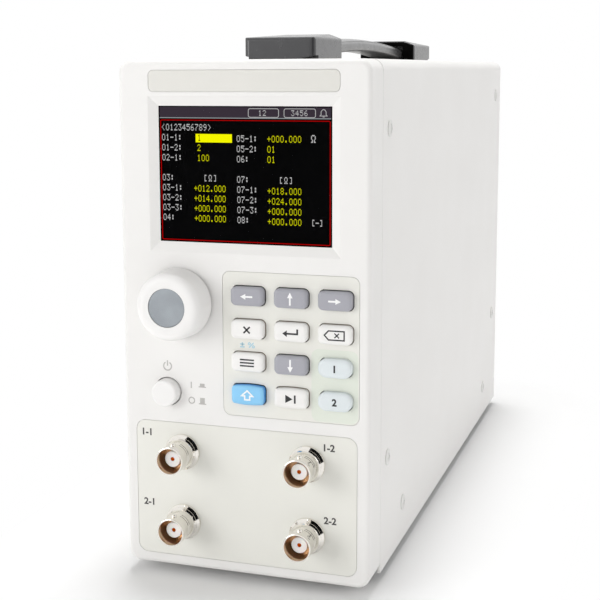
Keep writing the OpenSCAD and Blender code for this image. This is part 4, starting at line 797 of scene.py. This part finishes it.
def shade_sheet_patch(bm, xs, low, place, rows=14):
    """Closed patch of painted shade over the mouth, from the height low to the top edge of the shade sheet.
    """
    fronts, backs = [], []
    for x in xs:
        zs = [low + (shade_sheet_top(abs(x)) - low) * k / rows for k in range(rows + 1)]
        fronts.append([bm.verts.new(place(x, mouth_depth(x, z) - SHADE_SHEET_PROUD, z)) for z in zs])
        backs.append([bm.verts.new(place(x, mouth_depth(x, z) + SHADE_SHEET_IN, z)) for z in zs])
    for i in range(len(xs) - 1):
        for k in range(rows):
            bm.faces.new((fronts[i][k], fronts[i + 1][k], fronts[i + 1][k + 1], fronts[i][k + 1]))
            bm.faces.new((backs[i][k + 1], backs[i + 1][k + 1], backs[i + 1][k], backs[i][k]))
        for k in (0, rows):
            bm.faces.new((fronts[i][k], backs[i][k], backs[i + 1][k], fronts[i + 1][k]))
    for i in (0, -1):
        for k in range(rows):
            bm.faces.new((fronts[i][k], fronts[i][k + 1], backs[i][k + 1], backs[i][k]))


def build_shade_sheet(name, node, sign):
    lo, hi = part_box(node)
    mouth_y = lo.y if sign > 0 else hi.y
    bm = bmesh.new()

    def place(x, depth, z):
        return Vector((x * MM, mouth_y + sign * depth * MM, lo.z + z * MM))

    shares = [k / SHADE_SHEET_STEPS for k in range(SHADE_SHEET_STEPS + 1)]
    reach = CAP_W / 2 - FREE_SIDE
    for side in (1, -1):
        shade_sheet_patch(bm, [side * (SLEEVE_X + (reach - SLEEVE_X) * t) for t in shares], FREE_FOOT, place)
    shade_sheet_patch(bm, [SLEEVE_X * (2 * t - 1) for t in shares], SLEEVE_Z + FREE_STRAP, place)
    body_piece(name, bm, mouth_painted_shade.material, "case")


build_shade_sheet("rear_cap_shade_sheet", "handle_rear_cap", 1)
build_shade_sheet("front_cap_shade_sheet", "handle_front_cap", -1)


# Handle strap: a band of even section, bent up between its end caps

STRAP_LO, STRAP_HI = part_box("handle_strap")
STRAP_THICK = 5.1
STRAP_EDGE, EDGE_STEPS = 1.25, 6
STRAP_CROWN = 1.4
# Share of the bend that the band covers, so that its ends stay inside the solid's box
STRAP_REACH = 0.999


def strap_section(half, steps=10):
    """Section of the strap as (sideways, up) points, with a crowned top and round edges."""
    points = []
    shoulder = STRAP_THICK - STRAP_CROWN - STRAP_EDGE
    for mz, start in ((STRAP_EDGE, -90), (shoulder, 0)):
        points += arc((half - STRAP_EDGE, mz), STRAP_EDGE, start, start + 90, EDGE_STEPS)
    crown = [(half - STRAP_EDGE) * math.cos(math.pi * k / (2 * steps)) for k in range(1, steps)]
    points += [(x, STRAP_THICK - STRAP_CROWN * (x / half) ** 2) for x in crown]
    points += [(0, STRAP_THICK)]
    return points + [(-x, z) for x, z in points[-2::-1]]


def build_strap(steps=72):
    half = (STRAP_HI.x - STRAP_LO.x) / 2 / MM
    reach = (STRAP_HI.y - STRAP_LO.y) / 2 / MM
    rise = (STRAP_HI.z - STRAP_LO.z) / MM - STRAP_THICK
    radius = (reach * reach + rise * rise) / (2 * rise)
    centre = ((STRAP_LO.y + STRAP_HI.y) / 2, STRAP_HI.z - (STRAP_THICK + radius) * MM)
    limit = math.asin(reach / (radius + STRAP_THICK)) * STRAP_REACH
    section = strap_section(half)
    bm = bmesh.new()
    rings = []
    for k in range(steps + 1):
        a = limit * (2 * k / steps - 1)
        rings.append([
            bm.verts.new((x * MM, centre[0] + (radius + up) * math.sin(a) * MM,
                          centre[1] + (radius + up) * math.cos(a) * MM))
            for x, up in section
        ])
    bar(bm, rings)
    for face in bm.faces:
        face.smooth = len(face.verts) == 4
    piece = body_piece("strap_band", bm, strap_rubber.material, "case")
    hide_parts("handle_strap")


build_strap()


# Floor, world and lamps

def light_path_mix(tree, plain, seen):
    """Mixes two shaders: seen for rays from the camera, from gloss and through glass, plain for the rest."""
    path = tree.nodes.new("ShaderNodeLightPath")
    factor = path.outputs["Is Camera Ray"]
    for kind in ("Is Glossy Ray", "Is Transmission Ray"):
        either = tree.nodes.new("ShaderNodeMath")
        either.operation = "MAXIMUM"
        tree.links.new(factor, either.inputs[0])
        tree.links.new(path.outputs[kind], either.inputs[1])
        factor = either.outputs[0]
    mix = tree.nodes.new("ShaderNodeMixShader")
    tree.links.new(factor, mix.inputs[0])
    tree.links.new(plain, mix.inputs[1])
    tree.links.new(seen, mix.inputs[2])
    return mix.outputs[0]


world = bpy.data.worlds.new("studio")
world.use_nodes = True
scene.world = world
tree = world.node_tree
ambient = tree.nodes["Background"]
ambient.inputs["Color"].default_value = (1.0, 0.995, 0.985, 1)
ambient.inputs["Strength"].default_value = 0.55
backdrop = tree.nodes.new("ShaderNodeBackground")
backdrop.inputs["Color"].default_value = (1, 1, 1, 1)
backdrop.inputs["Strength"].default_value = 1.0
sky = light_path_mix(tree, ambient.outputs[0], backdrop.outputs[0])
tree.links.new(sky, tree.nodes["World Output"].inputs[0])


def stage_piece(name, build, material):
    bm = bmesh.new()
    build(bm)
    piece = made(name, bm, material)
    return piece


# Floor: pale and shaded near the case, where it shows the shadow, and plain white farther out
FOOTPRINT = (0.044, 0.132, 0)
FLOOR_NEAR, FLOOR_FAR = 0.008, 0.06
FLOOR_HALF = 12
g = Graph("floor_white")
g.set(Roughness=0.9, Specular_IOR_Level=0.1)
g.put("Base Color", g.mix(g.spread(g.noise(3, 2), 0, 1), (0.93, 0.93, 0.93), (0.95, 0.95, 0.95)))
near = g.node("ShaderNodeBsdfDiffuse")
near.inputs["Color"].default_value = (0.84, 0.84, 0.84, 1)
white = g.node("ShaderNodeEmission")
white.inputs["Color"].default_value = (1, 1, 1, 1)
beyond = g.vector("SUBTRACT", g.vector("ABSOLUTE", g.place), FOOTPRINT)
distance = g.vector("LENGTH", g.vector("MAXIMUM", beyond, (0, 0, 0)))
seen = g.node("ShaderNodeMixShader")
g.link(g.spread(distance, 0, 1, FLOOR_NEAR, FLOOR_FAR), seen.inputs[0])
g.link(near.outputs[0], seen.inputs[1])
g.link(white.outputs[0], seen.inputs[2])
output = g.tree.nodes["Material Output"]
g.link(light_path_mix(g.tree, g.shader.outputs[0], seen.outputs[0]), output.inputs["Surface"])
stage_piece("floor", lambda bm: bmesh.ops.create_grid(bm, x_segments=2, y_segments=2, size=FLOOR_HALF),
            g.material)


def lamp(name, place, aim, size, power):
    """Round area lamp at a place, turned towards aim."""
    data = bpy.data.lights.new(name, "AREA")
    data.shape = "DISK"
    data.size = size
    data.energy = power
    light = bpy.data.objects.new(name, data)
    scene.collection.objects.link(light)
    light.location = place
    light.rotation_euler = (Vector(aim) - Vector(place)).to_track_quat("-Z", "Y").to_euler()


CASE_MIDDLE = (0, 0, 0.09)
lamp("key_lamp", (-0.9, -1.15, 0.45), CASE_MIDDLE, 0.9, 7.6)
lamp("side_lamp", (1.3, -0.35, 0.8), CASE_MIDDLE, 0.9, 3)
lamp("top_lamp", (-0.05, 0.25, 1.9), (0, 0, 0), 0.6, 20)

# Dark card round the front's axis, up and to the right, which only mirror-like surfaces show
CARD_MIDDLE, CARD_AWAY = Vector((0, -0.13, 0.03)), 0.9
CARD_SLANT, CARD_TURN = (44, 86), (0, 88)


def card_point(slant, turn):
    slant, turn = math.radians(slant), math.radians(turn)
    side = math.sin(slant)
    away = Vector((side * math.cos(turn), -math.cos(slant), side * math.sin(turn)))
    return CARD_MIDDLE + CARD_AWAY * away


def build_card(bm, steps=16):
    rows = []
    for k in range(steps + 1):
        turn = CARD_TURN[0] + (CARD_TURN[1] - CARD_TURN[0]) * k / steps
        rows.append([bm.verts.new(card_point(slant, turn)) for slant in CARD_SLANT])
    for a, b in zip(rows, rows[1:]):
        bm.faces.new((a[0], a[1], b[1], b[0]))


card_black = surface("card_black", (0.004, 0.004, 0.004), 0.9, 5, 0.1, 0.2, 200, Specular_IOR_Level=0.0)
card = stage_piece("dark_card", build_card, card_black.material)
card.visible_camera = False
card.visible_diffuse = False
card.visible_shadow = False
card.visible_transmission = False
